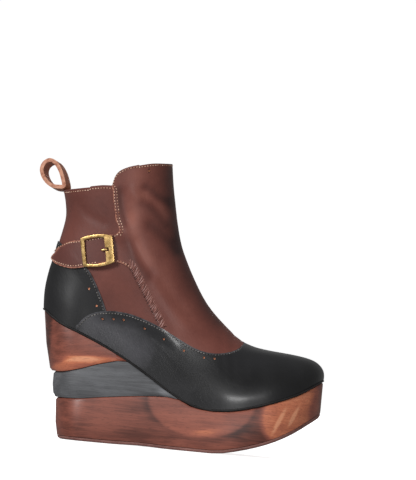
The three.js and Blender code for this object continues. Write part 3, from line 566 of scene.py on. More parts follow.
def draw_in(obj):
    x, y, z = in_mm(obj)
    move = np.zeros(len(x))
    for row in DRAWN_IN:
        for side, line, outline in zip((LATERAL, MEDIAL), row["lines"], row["outlines"]):
            share = eased(distance_to(line, x, z) / DRAWN_FADE)
            share *= inside(outline, x, z) * (y * side >= 0)
            move += (row["depth"] - move) * share
    set_places(obj, places(obj) - normals(obj) * move[:, None] * MM)
    return move


drawn_in = draw_in(form)
print("form yields by up to %.2f mm" % drawn_in.max())

# %% [markdown]
# Seen from the side, leather over a moving ankle is never quite even: it keeps soft troughs where
# the foot bends it. Each crease is a short line with a depth and a width, chosen from the photo,
# and the form's points near it move in or out along their normals. Doing it on the form means that
# every layer cut from it later shows the same fold.

# %% Creases
SIDE_FADE = 6

CREASES = [
    {"side": LATERAL, "depth": 0.9, "width": 4.5, "line": [(76, 214), (86, 206), (99, 199)]},
    {"side": LATERAL, "depth": 0.8, "width": 4.0, "line": [(77, 206), (90, 198), (101, 192)]},
    {"side": LATERAL, "depth": -0.7, "width": 4.5, "line": [(66, 212), (82, 201), (98, 187)]},
    {"side": LATERAL, "depth": 1.0, "width": 5.5, "line": [(84, 186), (97, 177), (108, 167)]},
    {"side": LATERAL, "depth": 0.9, "width": 5.0, "line": [(58, 210), (60, 199), (64, 189)]},
    {"side": LATERAL, "depth": -0.7, "width": 5.0, "line": [(62, 178), (72, 160), (84, 144)]},
    {"side": LATERAL, "depth": 0.8, "width": 4.5, "line": [(72, 170), (80, 156), (88, 146)]},
    {"side": LATERAL, "depth": 0.6, "width": 5.0, "line": [(98, 140), (110, 126), (124, 112)]},
    {"side": LATERAL, "depth": -0.5, "width": 5.0, "line": [(92, 136), (104, 122), (120, 106)]},
    {"side": LATERAL, "depth": 0.5, "width": 4.0, "line": [(20, 200), (30, 190), (44, 184)]},
    {"side": MEDIAL, "depth": 0.9, "width": 5.0, "line": [(66, 214), (78, 205), (96, 200)]},
    {"side": MEDIAL, "depth": 0.9, "width": 5.0, "line": [(70, 180), (86, 172), (104, 166)]},
    {"side": MEDIAL, "depth": -0.6, "width": 5.0, "line": [(60, 170), (74, 158), (98, 148)]},
    {"side": MEDIAL, "depth": 0.7, "width": 5.0, "line": [(80, 150), (96, 136), (112, 122)]},
    {"side": MEDIAL, "depth": 0.5, "width": 4.5, "line": [(14, 184), (24, 178), (36, 176)]},
]
FLEX = [
    {"x": 152, "depth": 0.35, "width": 3.2},
    {"x": 161, "depth": 0.45, "width": 3.4},
    {"x": 171, "depth": 0.3, "width": 3.6},
]
FLEX_LOW = 60
FLEX_TOP = 78
FLEX_END = 100
FLEX_ROOT = 95
FLEX_LEAN = 0.12


def crease(obj):
    x, y, z = in_mm(obj)
    move = np.zeros(len(x))
    for row in CREASES:
        line = rounded(row["line"], step=3)
        gap = distance_to(line, x, z)
        near = np.clip(y * row["side"] / SIDE_FADE, 0, 1)
        move -= row["depth"] * np.exp(-(gap / row["width"]) ** 2) * near
    for row in FLEX:
        rise = np.clip((z - FLEX_LOW) / (FLEX_TOP - FLEX_LOW), 0, 1)
        lean = x - row["x"] - FLEX_LEAN * (FLEX_ROOT - z)
        move -= row["depth"] * np.exp(-(lean / row["width"]) ** 2) * rise * (z < FLEX_END)
    set_places(obj, places(obj) + normals(obj) * move[:, None] * MM)
    return move


creased = crease(form)
print("creases from %.2f to %.2f mm" % (creased.min(), creased.max()))

# %% [markdown]
# The photo is a cut-out on plain white with hardly a shadow. The stage is a wide white dish, flat
# under the boot and curved up all round, so that no horizon shows from any side. It glows a
# little, but it neither lights the boot nor shows in its reflections. One large lamp lights the
# buckle side, a low one gives the toe its small highlight, and a third lamp fills the zip side. The
# third is kept out of reflections too, where it would draw a white rim round the boot.

# %% Stage and light
FLOOR_RADIUS = 9.0
RIM_RADIUS = 1.0
RIM_STEPS = 8
WALL_HEIGHT = 1.5
WORLD_LIGHT = 0.25
FLOOR_CORNERS = 96
FLOOR_GREY = (0.8, 0.8, 0.8)
FLOOR_ROUGHNESS = 0.7
FLOOR_GLOW = 0.8
WHITE = (1, 1, 1, 1)
LAMPS = [
    {"name": "key", "spot": (-1.3, -1.5, 1.0), "target": (0, 0, 0.1), "size": (0.55, 0.55),
     "power": 32, "glossy": True},
    {"name": "low", "spot": (0.22, -1.6, 0.3), "target": (0.05, 0, 0.05), "size": (0.36, 0.08),
     "power": 4, "glossy": True},
    {"name": "far_side", "spot": (0.5, 1.8, 0.9), "target": (0, 0, 0.1), "size": (0.8, 0.8),
     "power": 20, "glossy": False},
]


def make_floor_material():
    floor = bpy.data.materials.new("pale_floor")
    floor.use_nodes = True
    shader = floor.node_tree.nodes["Principled BSDF"]
    shader.inputs["Base Color"].default_value = (*FLOOR_GREY, 1)
    shader.inputs["Roughness"].default_value = FLOOR_ROUGHNESS
    shader.inputs["Emission Color"].default_value = WHITE
    shader.inputs["Emission Strength"].default_value = FLOOR_GLOW
    return floor


def make_stage():
    """A pale floor that curves up all round, like a dish."""
    bpy.ops.mesh.primitive_circle_add(vertices=FLOOR_CORNERS, radius=FLOOR_RADIUS)
    stage = bpy.context.object
    stage.name = "stage"
    edit(stage)
    bpy.ops.mesh.select_all(action="SELECT")
    radius = FLOOR_RADIUS
    for turn in range(1, RIM_STEPS + 1):
        angle = math.radians(90 / RIM_STEPS * (turn - 0.5))
        side = RIM_RADIUS * 2 * math.sin(math.radians(45 / RIM_STEPS))
        wider = radius + side * math.cos(angle)
        bpy.ops.mesh.extrude_edges_move(TRANSFORM_OT_translate={"value": (0, 0, side * math.sin(angle))})
        bpy.ops.transform.resize(value=(wider / radius, wider / radius, 1))
        radius = wider
    bpy.ops.mesh.extrude_edges_move(TRANSFORM_OT_translate={"value": (0, 0, WALL_HEIGHT)})
    bpy.ops.mesh.select_all(action="DESELECT")
    done()
    for vertex in stage.data.vertices:
        vertex.select = vertex.co.z < MM
    edit(stage)
    bpy.ops.mesh.edge_face_add()
    bpy.ops.mesh.select_all(action="SELECT")
    bpy.ops.mesh.normals_make_consistent(inside=True)
    done()
    smooth(stage, 60)
    stage.data.materials.append(make_floor_material())
    stage.visible_glossy = False
    stage.visible_diffuse = False


def make_lamp(row):
    data = bpy.data.lights.new(row["name"], "AREA")
    data.shape = "RECTANGLE"
    data.size, data.size_y = row["size"]
    data.energy = row["power"]
    lamp = bpy.data.objects.new(row["name"], data)
    bpy.context.collection.objects.link(lamp)
    lamp.location = row["spot"]
    aim = Vector(row["target"]) - Vector(row["spot"])
    lamp.rotation_euler = aim.to_track_quat("-Z", "Y").to_euler()
    lamp.visible_glossy = row["glossy"]


def make_world():
    world = bpy.data.worlds.new("world")
    world.use_nodes = True
    background = world.node_tree.nodes["Background"]
    background.inputs["Color"].default_value = WHITE
    background.inputs["Strength"].default_value = WORLD_LIGHT
    bpy.context.scene.world = world


make_stage()
for row in LAMPS:
    make_lamp(row)
make_world()
bpy.context.scene.view_settings.view_transform = "Standard"
print("stage and", len(LAMPS), "lamps")

# %% [markdown]
# Leather isn't one colour. The dye takes unevenly, hands and feet burnish it, and raw edges are
# darker. The materials below are built from a few small helpers: noise at a real size in
# millimetres, a colour ramp, a mix and a bump. Two values painted on the mesh guide them: `edge` is
# one along a panel's cut edge, and the tone value holds each piece's own tone plus painted shade,
# darker in the troughs of folds and at the shaft's front, and painted highlights on the ridges.

# %% Helpers for materials


def srgb(red, green, blue):
    """A colour as a screen shows it (0 to 255), turned into the linear value a shader needs."""
    share = [value / 255 for value in (red, green, blue)]
    return tuple(s / 12.92 if s <= 0.04045 else ((s + 0.055) / 1.055) ** 2.4 for s in share)


SOCKETS = {
    "colour": "Base Color",
    "roughness": "Roughness",
    "metallic": "Metallic",
    "coat": "Coat Weight",
    "coat_roughness": "Coat Roughness",
    "specular": "Specular IOR Level",
    "normal": "Normal",
}


def wire(material, value, socket):
    """Links another node's output to a socket, or sets the socket to a plain value."""
    if isinstance(value, bpy.types.NodeSocket):
        material.node_tree.links.new(value, socket)
    elif socket.type == "RGBA":
        socket.default_value = (*value, 1)
    else:
        socket.default_value = value


def set_shader(material, **sockets):
    shader = material.node_tree.nodes["Principled BSDF"]
    for key, value in sockets.items():
        wire(material, value, shader.inputs[SOCKETS[key]])
    return material


def new_material(name, **sockets):
    material = bpy.data.materials.new(name)
    material.use_nodes = True
    return set_shader(material, **sockets)


def node(material, kind, inputs=None, **settings):
    made = material.node_tree.nodes.new("ShaderNode" + kind)
    for key, value in settings.items():
        setattr(made, key, value)
    for key, value in (inputs or {}).items():
        wire(material, value, made.inputs[key])
    return made


def object_place(material, stretch=(1, 1, 1), turn=(0, 0, 0)):
    """Object coordinates in millimetres, squeezed or turned where a pattern has a direction."""
    place = node(material, "TexCoord").outputs["Object"]
    scale = tuple(1 / MM / s for s in stretch)
    turned = node(material, "Mapping", {"Vector": place, "Rotation": turn})
    return node(material, "Mapping", {"Vector": turned.outputs[0], "Scale": scale}).outputs[0]


def noise(material, place, size, detail, rough, warp=0.0):
    inputs = {"Vector": place, "Scale": 1 / size, "Detail": detail, "Roughness": rough,
              "Distortion": warp}
    return node(material, "TexNoise", inputs).outputs["Fac"]


def ramp(material, factor, low, high, stops):
    """Colours from a factor: the stops are spread evenly between low and high."""
    made = node(material, "ValToRGB", {"Fac": factor})
    scale = made.color_ramp.elements
    while len(scale) < len(stops):
        scale.new(0.5)
    for i in range(len(stops)):
        scale[i].position = low + (high - low) * i / (len(stops) - 1)
    for element, colour in zip(scale, stops):
        element.color = (*colour, 1)
    return made.outputs["Color"]


def fade(material, factor, low, high):
    """Zero up to low, one from high on, smooth between them."""
    inputs = {"Value": factor, "From Min": low, "From Max": high}
    made = node(material, "MapRange", inputs, interpolation_type="SMOOTHSTEP")
    return made.outputs["Result"]


def mix(material, factor, first, second):
    made = node(material, "Mix", data_type="RGBA")
    wire(material, factor, made.inputs[0])
    wire(material, first, made.inputs[6])
    wire(material, second, made.inputs[7])
    return made.outputs[2]


def sums(material, operation, first, second):
    made = node(material, "Math", operation=operation)
    wire(material, first, made.inputs[0])
    wire(material, second, made.inputs[1])
    return made.outputs[0]


def add_shares(material, start, *parts):
    """A start value and then several patterns, each times its own share."""
    total = start
    for pattern, share in parts:
        total = sums(material, "ADD", total, sums(material, "MULTIPLY", pattern, share))
    return total


def painted(material, name):
    return node(material, "Attribute", attribute_name=name).outputs["Fac"]


def bump(material, height, depth, strength, after=None):
    """Relief of a real depth in millimetres, laid over an earlier one if there is one."""
    inputs = {"Height": height, "Distance": depth * MM, "Strength": strength}
    if after is not None:
        inputs["Normal"] = after
    return node(material, "Bump", inputs).outputs["Normal"]


print("half bright on a screen is %.3f for a shader" % srgb(128, 128, 128)[0])

# %% [markdown]
# The brown leather is smooth, with a waxed, slightly uneven finish. It could be one plain colour,
# which would look like plastic. Noise in four sizes gives clouds in the dye, small mottling, fine
# wrinkles and pores. The tone value then pulls it to the dark brown of painted shade, in the
# troughs of folds and at the shaft's front, or to a lighter tan of painted highlights on the
# ridges, and the edge value burnishes the cut edge.

# %% Leather materials
BROWN_DEEP = srgb(62, 34, 31)
BROWN = srgb(114, 64, 55)
BROWN_LIGHT = srgb(150, 92, 79)
BURNISHED = srgb(186, 124, 102)
BLACK_DEEP = srgb(16, 16, 17)
BLACK_SOFT = srgb(38, 38, 40)
# The lightest black: worn cut edges take it, and so do painted highlights and reflections where the
# painted value is high.
BLACK_WORN_AND_LIT = srgb(84, 83, 88)


def leather(name, deep, middle, light, rim, rough=0.5, coat=0.1, coat_rough=0.3):
    material = new_material(name, coat=coat, coat_roughness=coat_rough, specular=0.3)
    place = object_place(material)
    clouds = noise(material, place, 26, 3, 0.55, 0.4)
    mottle = noise(material, place, 3.2, 4, 0.6)
    pores = noise(material, place, 0.7, 2, 0.5)
    wrinkle = noise(material, object_place(material, (0.6, 1, 1.6), (0, 0.5, 0)), 4.5, 3, 0.6, 0.8)
    # Painted shade and highlights: the painted value darkens folds and the shaft's front and lightens
    # ridges, on top of the piece's own tone.
    tone_and_shading = painted(material, "tone_and_shading")
    dye_and_shading = add_shares(material, tone_and_shading, (clouds, 0.34), (mottle, 0.16))
    colour = ramp(material, sums(material, "SUBTRACT", dye_and_shading, 0.25), 0, 1, (deep, middle, light))
    worn = sums(material, "MULTIPLY", painted(material, "edge"), fade(material, mottle, 0.3, 0.6))
    colour = mix(material, worn, colour, rim)
    shine = add_shares(material, rough - 0.1, (clouds, 0.22))
    height = bump(material, wrinkle, 0.35, 0.5)
    height = bump(material, pores, 0.12, 0.5, height)
    return set_shader(material, colour=colour, roughness=shine, normal=height)


brown_leather = leather("brown_leather", BROWN_DEEP, BROWN, BROWN_LIGHT, BURNISHED)
black_leather = leather("black_leather_gloss", BLACK_DEEP, BLACK_SOFT, BLACK_WORN_AND_LIT, BLACK_WORN_AND_LIT,
                        rough=0.36, coat=0.42, coat_rough=0.2)
counter_black = leather("counter_black", BLACK_DEEP, BLACK_SOFT, BLACK_WORN_AND_LIT, BLACK_WORN_AND_LIT,
                        rough=0.55, coat=0.15)
strap_leather = leather("strap_leather", BROWN_DEEP, srgb(96, 54, 48), srgb(132, 78, 68), BURNISHED)
lining_leather = leather("lining_leather", srgb(120, 80, 60), srgb(176, 130, 100),
                         srgb(200, 156, 124), srgb(206, 168, 138), rough=0.6, coat=0.0)
print("leathers", [m.name for m in bpy.data.materials if "leather" in m.name])

# %% [markdown]
# The painted shading of each place is chosen from the photo: a spot or a short line, how far it
# reaches, and how much it darkens the leather with painted shade, in the troughs of folds and at
# the shaft's front, or lightens it with painted highlights on the ridges. The same function serves
# every panel, so a shadowed fold runs on from one panel to the next.

# %% Painting tone, shading and edge
# Painted shade and painted highlights: rows with a negative amount darken the troughs of folds and the
# shaft's front, rows with a positive one lighten the ridges.
PAINTED_SHADING = [
    {"side": LATERAL, "amount": -0.46, "reach": 8, "line": [(100, 232), (103, 205), (110, 178)]},
    {"side": LATERAL, "amount": -0.34, "reach": 10, "line": [(112, 170), (122, 146), (148, 114)]},
    {"side": LATERAL, "amount": 0.24, "reach": 8, "line": [(68, 228), (72, 212), (68, 196)]},
    {"side": LATERAL, "amount": 0.28, "reach": 4, "line": [(78, 212), (88, 205), (96, 195)]},
    {"side": LATERAL, "amount": -0.34, "reach": 4, "line": [(76, 218), (86, 211), (98, 207)]},
    {"side": LATERAL, "amount": -0.26, "reach": 4, "line": [(74, 204), (84, 200), (96, 188)]},
    {"side": LATERAL, "amount": -0.26, "reach": 5, "line": [(84, 186), (97, 177), (108, 167)]},
    {"side": LATERAL, "amount": 0.36, "reach": 6, "line": [(68, 190), (72, 174), (84, 156)]},
    {"side": LATERAL, "amount": -0.24, "reach": 6, "line": [(66, 170), (72, 156), (82, 144)]},
    {"side": LATERAL, "amount": 0.14, "reach": 8, "line": [(96, 150), (106, 130), (120, 108)]},
    {"side": LATERAL, "amount": -0.26, "reach": 3, "line": [(54, 214), (57, 200), (62, 186)]},
    {"side": LATERAL, "amount": -0.10, "reach": 12, "line": [(16, 200), (30, 196), (46, 198)]},
    {"side": LATERAL, "amount": 0.08, "reach": 10, "line": [(52, 142), (66, 126), (80, 112)]},
    {"side": MEDIAL, "amount": -0.26, "reach": 10, "line": [(98, 228), (104, 200), (112, 172)]},
    {"side": MEDIAL, "amount": 0.10, "reach": 14, "line": [(66, 220), (72, 190), (82, 160)]},
]
NEUTRAL = 0.5
SHADING_SIDE_FADE = 8
MIDDLE_OVERLAP = -1


def paint(obj, name, values):
    layer = obj.data.attributes.new(name, "FLOAT", "POINT")
    layer.data.foreach_set("value", np.clip(values, 0, 1))


# Each piece's own tone as a level, plus rows of painted shade and painted highlights.
def paint_tone_and_shading(obj, level=NEUTRAL, rows=PAINTED_SHADING):
    x, y, z = in_mm(obj)
    tone_and_shading = np.full(len(x), level)
    for row in rows:
        near = np.clip(y * row["side"] / SHADING_SIDE_FADE, 0, 1)
        gap = distance_to(rounded(row["line"], step=3), x, z)
        tone_and_shading += row["amount"] * np.exp(-(gap / row["reach"]) ** 2) * near
    paint(obj, "tone_and_shading", tone_and_shading)


def paint_edge(obj, lines, reach=1.2):
    """Edge is one on the cut outline and fades inside the panel; lines are (side, points)."""
    x, y, z = in_mm(obj)
    edge = np.zeros(len(x))
    for side, line in lines:
        near = (y * side > MIDDLE_OVERLAP).astype(float)
        edge = np.maximum(edge, near * np.exp(-(distance_to(line, x, z) / reach) ** 2))
    paint(obj, "edge", edge)


print(len(PAINTED_SHADING), "places are lighter or darker")

# %% [markdown]
# The shell leather of the boot comes first: one wall all round, open at the collar and below.
# Its lining is a second, thinner leather inside it, lighter in colour, seen at the collar. One
# thick wall in one material would be quicker, but a real collar shows both leathers at its edge.

# %% Upper and lining
WALL = 1.6
LINING = 0.7
LINING_GAP = 0.02
UPPER_TONE = 0.42


def make_upper():
    upper = shell("upper_leather", form, LINING - WALL, 0)
    paint_tone_and_shading(upper, UPPER_TONE)
    paint_edge(upper, [])
    return finish_piece(upper, brown_leather, nodes=("upper",))


def make_lining():
    lining = shell("upper_lining", form, -WALL, LINING - WALL - LINING_GAP)
    paint_tone_and_shading(lining, NEUTRAL, [])
    paint_edge(lining, [])
    return finish_piece(lining, lining_leather)


make_upper()
make_lining()

# %% [markdown]
# Over the upper lie the black overlays (the foxing round the toe and the counter at the heel) and
# the brown front panel. The foxing lies on top of the other two, so they stop at its edge. On the
# inner side the panel ends at the zip, and the foxing has a slot for the zip's lower end. Each
# one could be a copy of the frame's solid, but the cutter gives a crisp edge and the finer form.

# %% Overlays
SEAM = 0.25
PANEL_TOPSIDE = 1.3
COUNTER_TOPSIDE = 1.1
FOXING_TOPSIDE = 1.6
FOXING_BOX = (25, FAR, 30, 130)
PANEL_BOX = (35, 185, 70, 250)
COUNTER_BOX = (-30, 70, 80, 180)
ZIP_SIDE = 5
# Painted reflection and shade on the black foxing: lighter grey at its rear and along the toe's top,
# darker low on the toe and at its end.
FOXING_PAINTED_SHADING = [
    {"side": LATERAL, "amount": 0.42, "reach": 17, "line": [(44, 98), (60, 92), (84, 80)]},
    {"side": LATERAL, "amount": -0.26, "reach": 14, "line": [(120, 72), (150, 62), (176, 58)]},
    {"side": LATERAL, "amount": -0.3, "reach": 18, "line": [(206, 66), (234, 66)]},
    {"side": LATERAL, "amount": 0.12, "reach": 8, "line": [(170, 86), (196, 78), (220, 76)]},
    {"side": MEDIAL, "amount": 0.20, "reach": 16, "line": [(50, 96), (84, 84)]},
]


def make_foxing():
    foxing = shell("foxing_leather", form, SEAM, FOXING_TOPSIDE, FOXING_BOX)
    cut(foxing, two_sided("foxing_outline", *foxing_outlines), "INTERSECT")
    cut(foxing, cutter("zip_slot", zip_slot, ZIP_SIDE, FAR / 2), "DIFFERENCE")
    paint_tone_and_shading(foxing, 0.36, FOXING_PAINTED_SHADING)
    paint_edge(foxing, [(LATERAL, FOXING_LATERAL), (MEDIAL, FOXING_MEDIAL)], 0.9)
    return finish_piece(foxing, black_leather, nodes=("foxing",))


def make_front_panel():
    panel = shell("front_panel_leather", form, SEAM, PANEL_TOPSIDE, PANEL_BOX)
    cut(panel, two_sided("panel_outline", *panel_outlines), "INTERSECT")
    cut(panel, two_sided("foxing_outline", *foxing_outlines), "DIFFERENCE")
    paint_tone_and_shading(panel, 0.52)
    paint_edge(panel, [(LATERAL, PANEL_TOP), (LATERAL, PANEL_LOW[PANEL_LOW[:, 1] > 150])], 0.8)
    return finish_piece(panel, brown_leather, nodes=("front_panel",))


def make_heel_counter():
    counter = shell("counter_leather", form, SEAM, COUNTER_TOPSIDE, COUNTER_BOX)
    cut(counter, two_sided("counter_outline", *counter_outlines), "INTERSECT")
    cut(counter, two_sided("foxing_outline", *foxing_outlines), "DIFFERENCE")
    paint_tone_and_shading(counter, 0.2, [])
    paint_edge(counter, [(LATERAL, COUNTER_LATERAL), (MEDIAL, COUNTER_MEDIAL)], 0.9)
    return finish_piece(counter, counter_black, nodes=("heel_counter",))


foxing = make_foxing()
front_panel = make_front_panel()
heel_counter = make_heel_counter()

# %% [markdown]
# The strap goes from the panel back through the buckle and ends in a soft point at the back of
# the heel. It could be a strip bent round the ankle with a curve, but it hugs the leather below,
# so it is one more flat piece on the form, thicker than the panels and lying over them.

# %% Strap
STRAP_UNDER = 1.7
STRAP_TOPSIDE = 3.2
STRAP_BOX = (-20, 70, 135, 185)
STRAP_OUTLINE = rounded([
    (53, 175.6), (51.7, 175.5), (44, 173.6), (35, 171), (26, 168.6), (16.8, 166.2), (8.8, 161.3),
    (5.1, 156.3), (2.1, 151), (7.7, 146.4), (17.2, 144.3), (24, 144.6), (29.8, 145.9), (40, 148.6),
    (50, 151.4), (54, 152.6)])


def make_strap():
    strap = shell("strap_leather", form, STRAP_UNDER, STRAP_TOPSIDE, STRAP_BOX)
    cut(strap, cutter("strap_outline", STRAP_OUTLINE, -FAR / 2, OVERLAP), "INTERSECT")
    paint_tone_and_shading(strap, NEUTRAL, [])
    paint_edge(strap, [(LATERAL, STRAP_OUTLINE)], 0.9)
    return finish_piece(strap, strap_leather, nodes=("strap",))


make_strap()

# %% [markdown]
# The sole is a stack of wooden layers: a wedge under the heel, a thinner tapered one stained
# black, and a full-length platform with a rocker toe, with a sheet of rubber below. A photo of
# wood could be laid on them, but noise stretched along the grain is wood at any scale and from any
# side. The stain was rubbed back by hand on the buckle side, and soft ellipses do the same here:
# an arch at the waist and a bright patch before the toe, and a bright streak on the wedge.

# %% Wood materials
WOOD_SHEEN = 0.35
SPOT_SIDE_FADE = 10


def spot(material, x, z, reach, low, high, turn):
    """A soft ellipse in side view, on the buckle side: one inside it, zero outside."""
    centre = at(x, 0, z)
    place = node(material, "TexCoord").outputs["Object"]
    radii = (reach[0] * MM, 10, reach[1] * MM)
    inputs = {"Vector": place, "Location": centre, "Rotation": (0, turn, 0), "Scale": radii}
    local = node(material, "Mapping", inputs, vector_type="TEXTURE").outputs[0]
    length = node(material, "VectorMath", {0: local}, operation="LENGTH").outputs["Value"]
    mask = sums(material, "SUBTRACT", 1.0, fade(material, length, low, high))
    split = node(material, "SeparateXYZ", {"Vector": place}).outputs["Y"]
    facing = fade(material, sums(material, "MULTIPLY", split, LATERAL), 0, SPOT_SIDE_FADE * MM)
    return sums(material, "MULTIPLY", mask, facing)


def wood(name, stops, patches=(), rough=0.42, coat=0.2, slope=0.0):
    """Stained wood: long soft figure, fine grain lines, open pores; a patch shifts the stain."""
    material = new_material(name, coat=coat, coat_roughness=WOOD_SHEEN, specular=0.4)
    turn = (0, slope, 0)
    figure = noise(material, object_place(material, (9, 3, 1), turn), 4.5, 4, 0.55, 1.0)
    lines = noise(material, object_place(material, (60, 6, 1), turn), 0.8, 3, 0.6)
    pores = noise(material, object_place(material, (11, 2, 1), turn), 0.5, 2, 0.5)
    clouds = noise(material, object_place(material, (2.5, 1, 1), turn), 16, 2, 0.5)
    grain = add_shares(material, 0.0, (figure, 0.3), (lines, 0.3), (clouds, 0.4))
    stain = add_shares(material, 0.1, (fade(material, grain, 0.36, 0.64), 0.26))
    for row in patches:
        mask = spot(material, *row["at"], row["reach"], *row["rim"], row.get("turn", 0))
        stain = add_shares(material, stain, (mask, row["amount"]))
    colour = ramp(material, stain, 0, 1, stops)
    dark_pores = sums(material, "MULTIPLY", fade(material, pores, 0.54, 0.7), 0.4)
    colour = mix(material, dark_pores, colour, stops[0])
    height = bump(material, lines, 0.12, 0.3)
    height = bump(material, pores, 0.1, 0.3, height)
    shine = add_shares(material, rough - 0.1, (grain, 0.25))
    return set_shader(material, colour=colour, normal=height, roughness=shine)


PLATFORM_PATCHES = [
    {"at": (140, 43), "reach": (54, 38), "rim": (0.84, 1.0), "amount": -0.12},
    {"at": (140, 43), "reach": (47, 32), "rim": (0.9, 1.0), "amount": 0.24},
    {"at": (152, 19), "reach": (26, 5), "rim": (0.1, 1.1), "amount": 0.3, "turn": -0.15},
    {"at": (140, 60), "reach": (40, 34), "rim": (0.5, 1.0), "amount": -0.12},
    {"at": (184, 16), "reach": (24, 13), "rim": (0.5, 1.1), "amount": -0.10, "turn": 0.5},
    {"at": (222, 38), "reach": (35, 30), "rim": (0.8, 1.0), "amount": 0.5, "turn": -0.5},
    {"at": (206.5, 32), "reach": (2.6, 16), "rim": (0.1, 1.1), "amount": 0.42, "turn": 0.4},
    {"at": (218.5, 37), "reach": (2.2, 13), "rim": (0.1, 1.1), "amount": 0.42, "turn": 0.4},
    {"at": (238, 40), "reach": (9, 40), "rim": (0.4, 1.0), "amount": -0.3},
    {"at": (60, 8), "reach": (70, 10), "rim": (0.2, 1.1), "amount": -0.05},
]
WEDGE_PATCHES = [
    {"at": (44, 56), "reach": (44, 18), "rim": (0.8, 1.0), "amount": 0.36, "turn": -0.16},
    {"at": (34, 69), "reach": (26, 5), "rim": (0.1, 1.1), "amount": 0.55, "turn": -0.04},
    {"at": (20, 62), "reach": (12, 7), "rim": (0.1, 1.1), "amount": 0.2},
    {"at": (4, 80), "reach": (6, 60), "rim": (0.4, 1.1), "amount": -0.25},
]
MIDDLE_PATCHES = [
    {"at": (108, 47), "reach": (8, 4), "rim": (0.2, 1.0), "amount": 0.3, "turn": 0.4},
]
BROWN_WOOD = (srgb(70, 36, 29), srgb(130, 72, 58), srgb(162, 92, 73), srgb(206, 122, 88),
              srgb(234, 160, 122))
BLACK_WOOD = (srgb(62, 62, 64), srgb(104, 105, 108), srgb(132, 133, 137), srgb(184, 180, 178))


def plain_stuff(name, dark, light, rough, size, relief):
    """Board, rubber or plain leather: clouds of colour and a fine grain."""
    material = new_material(name, specular=0.35)
    place = object_place(material)
    clouds = noise(material, place, 14, 3, 0.55)
    grain = noise(material, place, size, 4, 0.6)
    share = add_shares(material, 0.0, (clouds, 0.6), (grain, 0.4))
    return set_shader(material, colour=ramp(material, share, 0.35, 0.65, (dark, light)),
                      roughness=add_shares(material, rough - 0.1, (grain, 0.2)),
                      normal=bump(material, grain, relief, 0.6))


brown_rubber = plain_stuff("brown_rubber", srgb(116, 76, 70), srgb(160, 114, 106), rough=0.7,
                           size=1.2, relief=0.15)
print(len(PLATFORM_PATCHES) + len(WEDGE_PATCHES) + len(MIDDLE_PATCHES), "rubbed patches")

# %% [markdown]
# The layers are sawn and sanded, so every edge is broken. They could be modelled anew, but the
# frame's solids already have the shapes, and a bevel on a merged copy breaks the edges. Two
# details are finer than in the frame: the thin end of a layer runs out to the line where its
# neighbours meet, and the heel stands out a little behind.

# %% Sole pieces
TIP_FADE = 22
TIP_EDGE = 0.2
HEEL_BACK = 1.9
HEEL_FADE = 60
HEEL_TOP = 98
HEEL_LEAN = 24
SHARP = math.radians(40)
SOLE_PIECES = [
    {"node": "outsole", "edge": 0.4, "material": brown_rubber},
    {"node": "platform", "edge": 0.9,
     "material": wood("platform_wood", BROWN_WOOD, PLATFORM_PATCHES)},
    {"node": "wedge_middle", "edge": 1.6, "tip": {"from": 114.3, "x": 119.6, "z": 42.9},
     "material": wood("black_wood", BLACK_WOOD, MIDDLE_PATCHES, rough=0.6, coat=0.0)},
    {"node": "wedge_top", "edge": 0.8, "tip": {"from": 69.8, "x": 74.3, "z": 70.4},
     "material": wood("wedge_wood", BROWN_WOOD, WEDGE_PATCHES, slope=0.12)},
]


def draw_out(piece, tip):
    """Runs the thin end of a layer out to its tip."""
    x, _, z = in_mm(piece)
    at_end = x > tip["from"]
    middle = z[at_end].mean()
    moved = places(piece)
    moved[at_end, 0] += (tip["x"] - x[at_end]) * MM
    moved[at_end, 2] = (tip["z"] + TIP_EDGE * np.sign(z[at_end] - middle)) * MM
    set_places(piece, moved)


def lean_back(piece):
    """Lets the heel stand out a little behind, less and less up to the rand and towards the toe."""
    x, _, z = in_mm(piece)
    share = np.clip((HEEL_FADE - x) / HEEL_FADE, 0, 1) * np.clip((HEEL_TOP - z) / HEEL_LEAN, 0, 1)
    moved = places(piece)
    moved[:, 0] -= HEEL_BACK * share * MM
    set_places(piece, moved)


def break_edges(piece, width, tip_x):
    """Bevels the sharp edges, less and less towards a thin tip, where sanding would eat it."""
    mesh = piece.data
    weights = mesh.attributes.new("bevel_weight_edge", "FLOAT", "EDGE")
    faces = {}
    for face in mesh.polygons:
        for key in face.edge_keys:
            faces.setdefault(key, []).append(face.normal)
    for edge in mesh.edges:
        sides = faces[edge.key]
        if len(sides) == 2 and sides[0].angle(sides[1], 0) > SHARP:
            x = mesh.vertices[edge.vertices[0]].co.x / MM - HEEL_X
            weights.data[edge.index].value = min(1, max(0, (tip_x - x) / TIP_FADE))
    apply(piece, "BEVEL", width=width * MM, segments=3, limit_method="WEIGHT")


def sole_piece(row):
    piece = merged_copy(row["node"], row["node"] + "_sanded")
    lean_back(piece)
    tip_x = FAR
    if "tip" in row:
        draw_out(piece, row["tip"])
        tip_x = row["tip"]["x"]
    break_edges(piece, row["edge"], tip_x)
    return finish_piece(piece, row["material"], nodes=(row["node"],), angle=35)


for row in SOLE_PIECES:
    sole_piece(row)

# %% [markdown]
# Thread, holes, pleats and zip teeth all lie in rows on the leather. A row is drawn in side view,
# thrown on the form by a ray along Y, and then walked in real millimetres, so that what it carries
# keeps its pitch round a bend. Along the collar the row follows the rim instead. An array on a
# curve could do much of this, but it wouldn't turn each copy to face out from the leather.

# %% Rows on the surface
surface = BVHTree.FromPolygons([v.co for v in form.data.vertices],
                               [p.vertices for p in form.data.polygons])


def on_form(x, z, side, height):
    """The point over the form at a place in side view, with the form's normal there."""
    hit = surface.ray_cast(at(x, side * FAR, z), Vector((0, -side, 0)))
    if hit[0] is None:
        return None
    return hit[0] + hit[1] * height * MM, hit[1]


def trace(line, side, height):
    spots = [on_form(x, z, side, height) for x, z in line]
    return [spot for spot in spots if spot is not None]


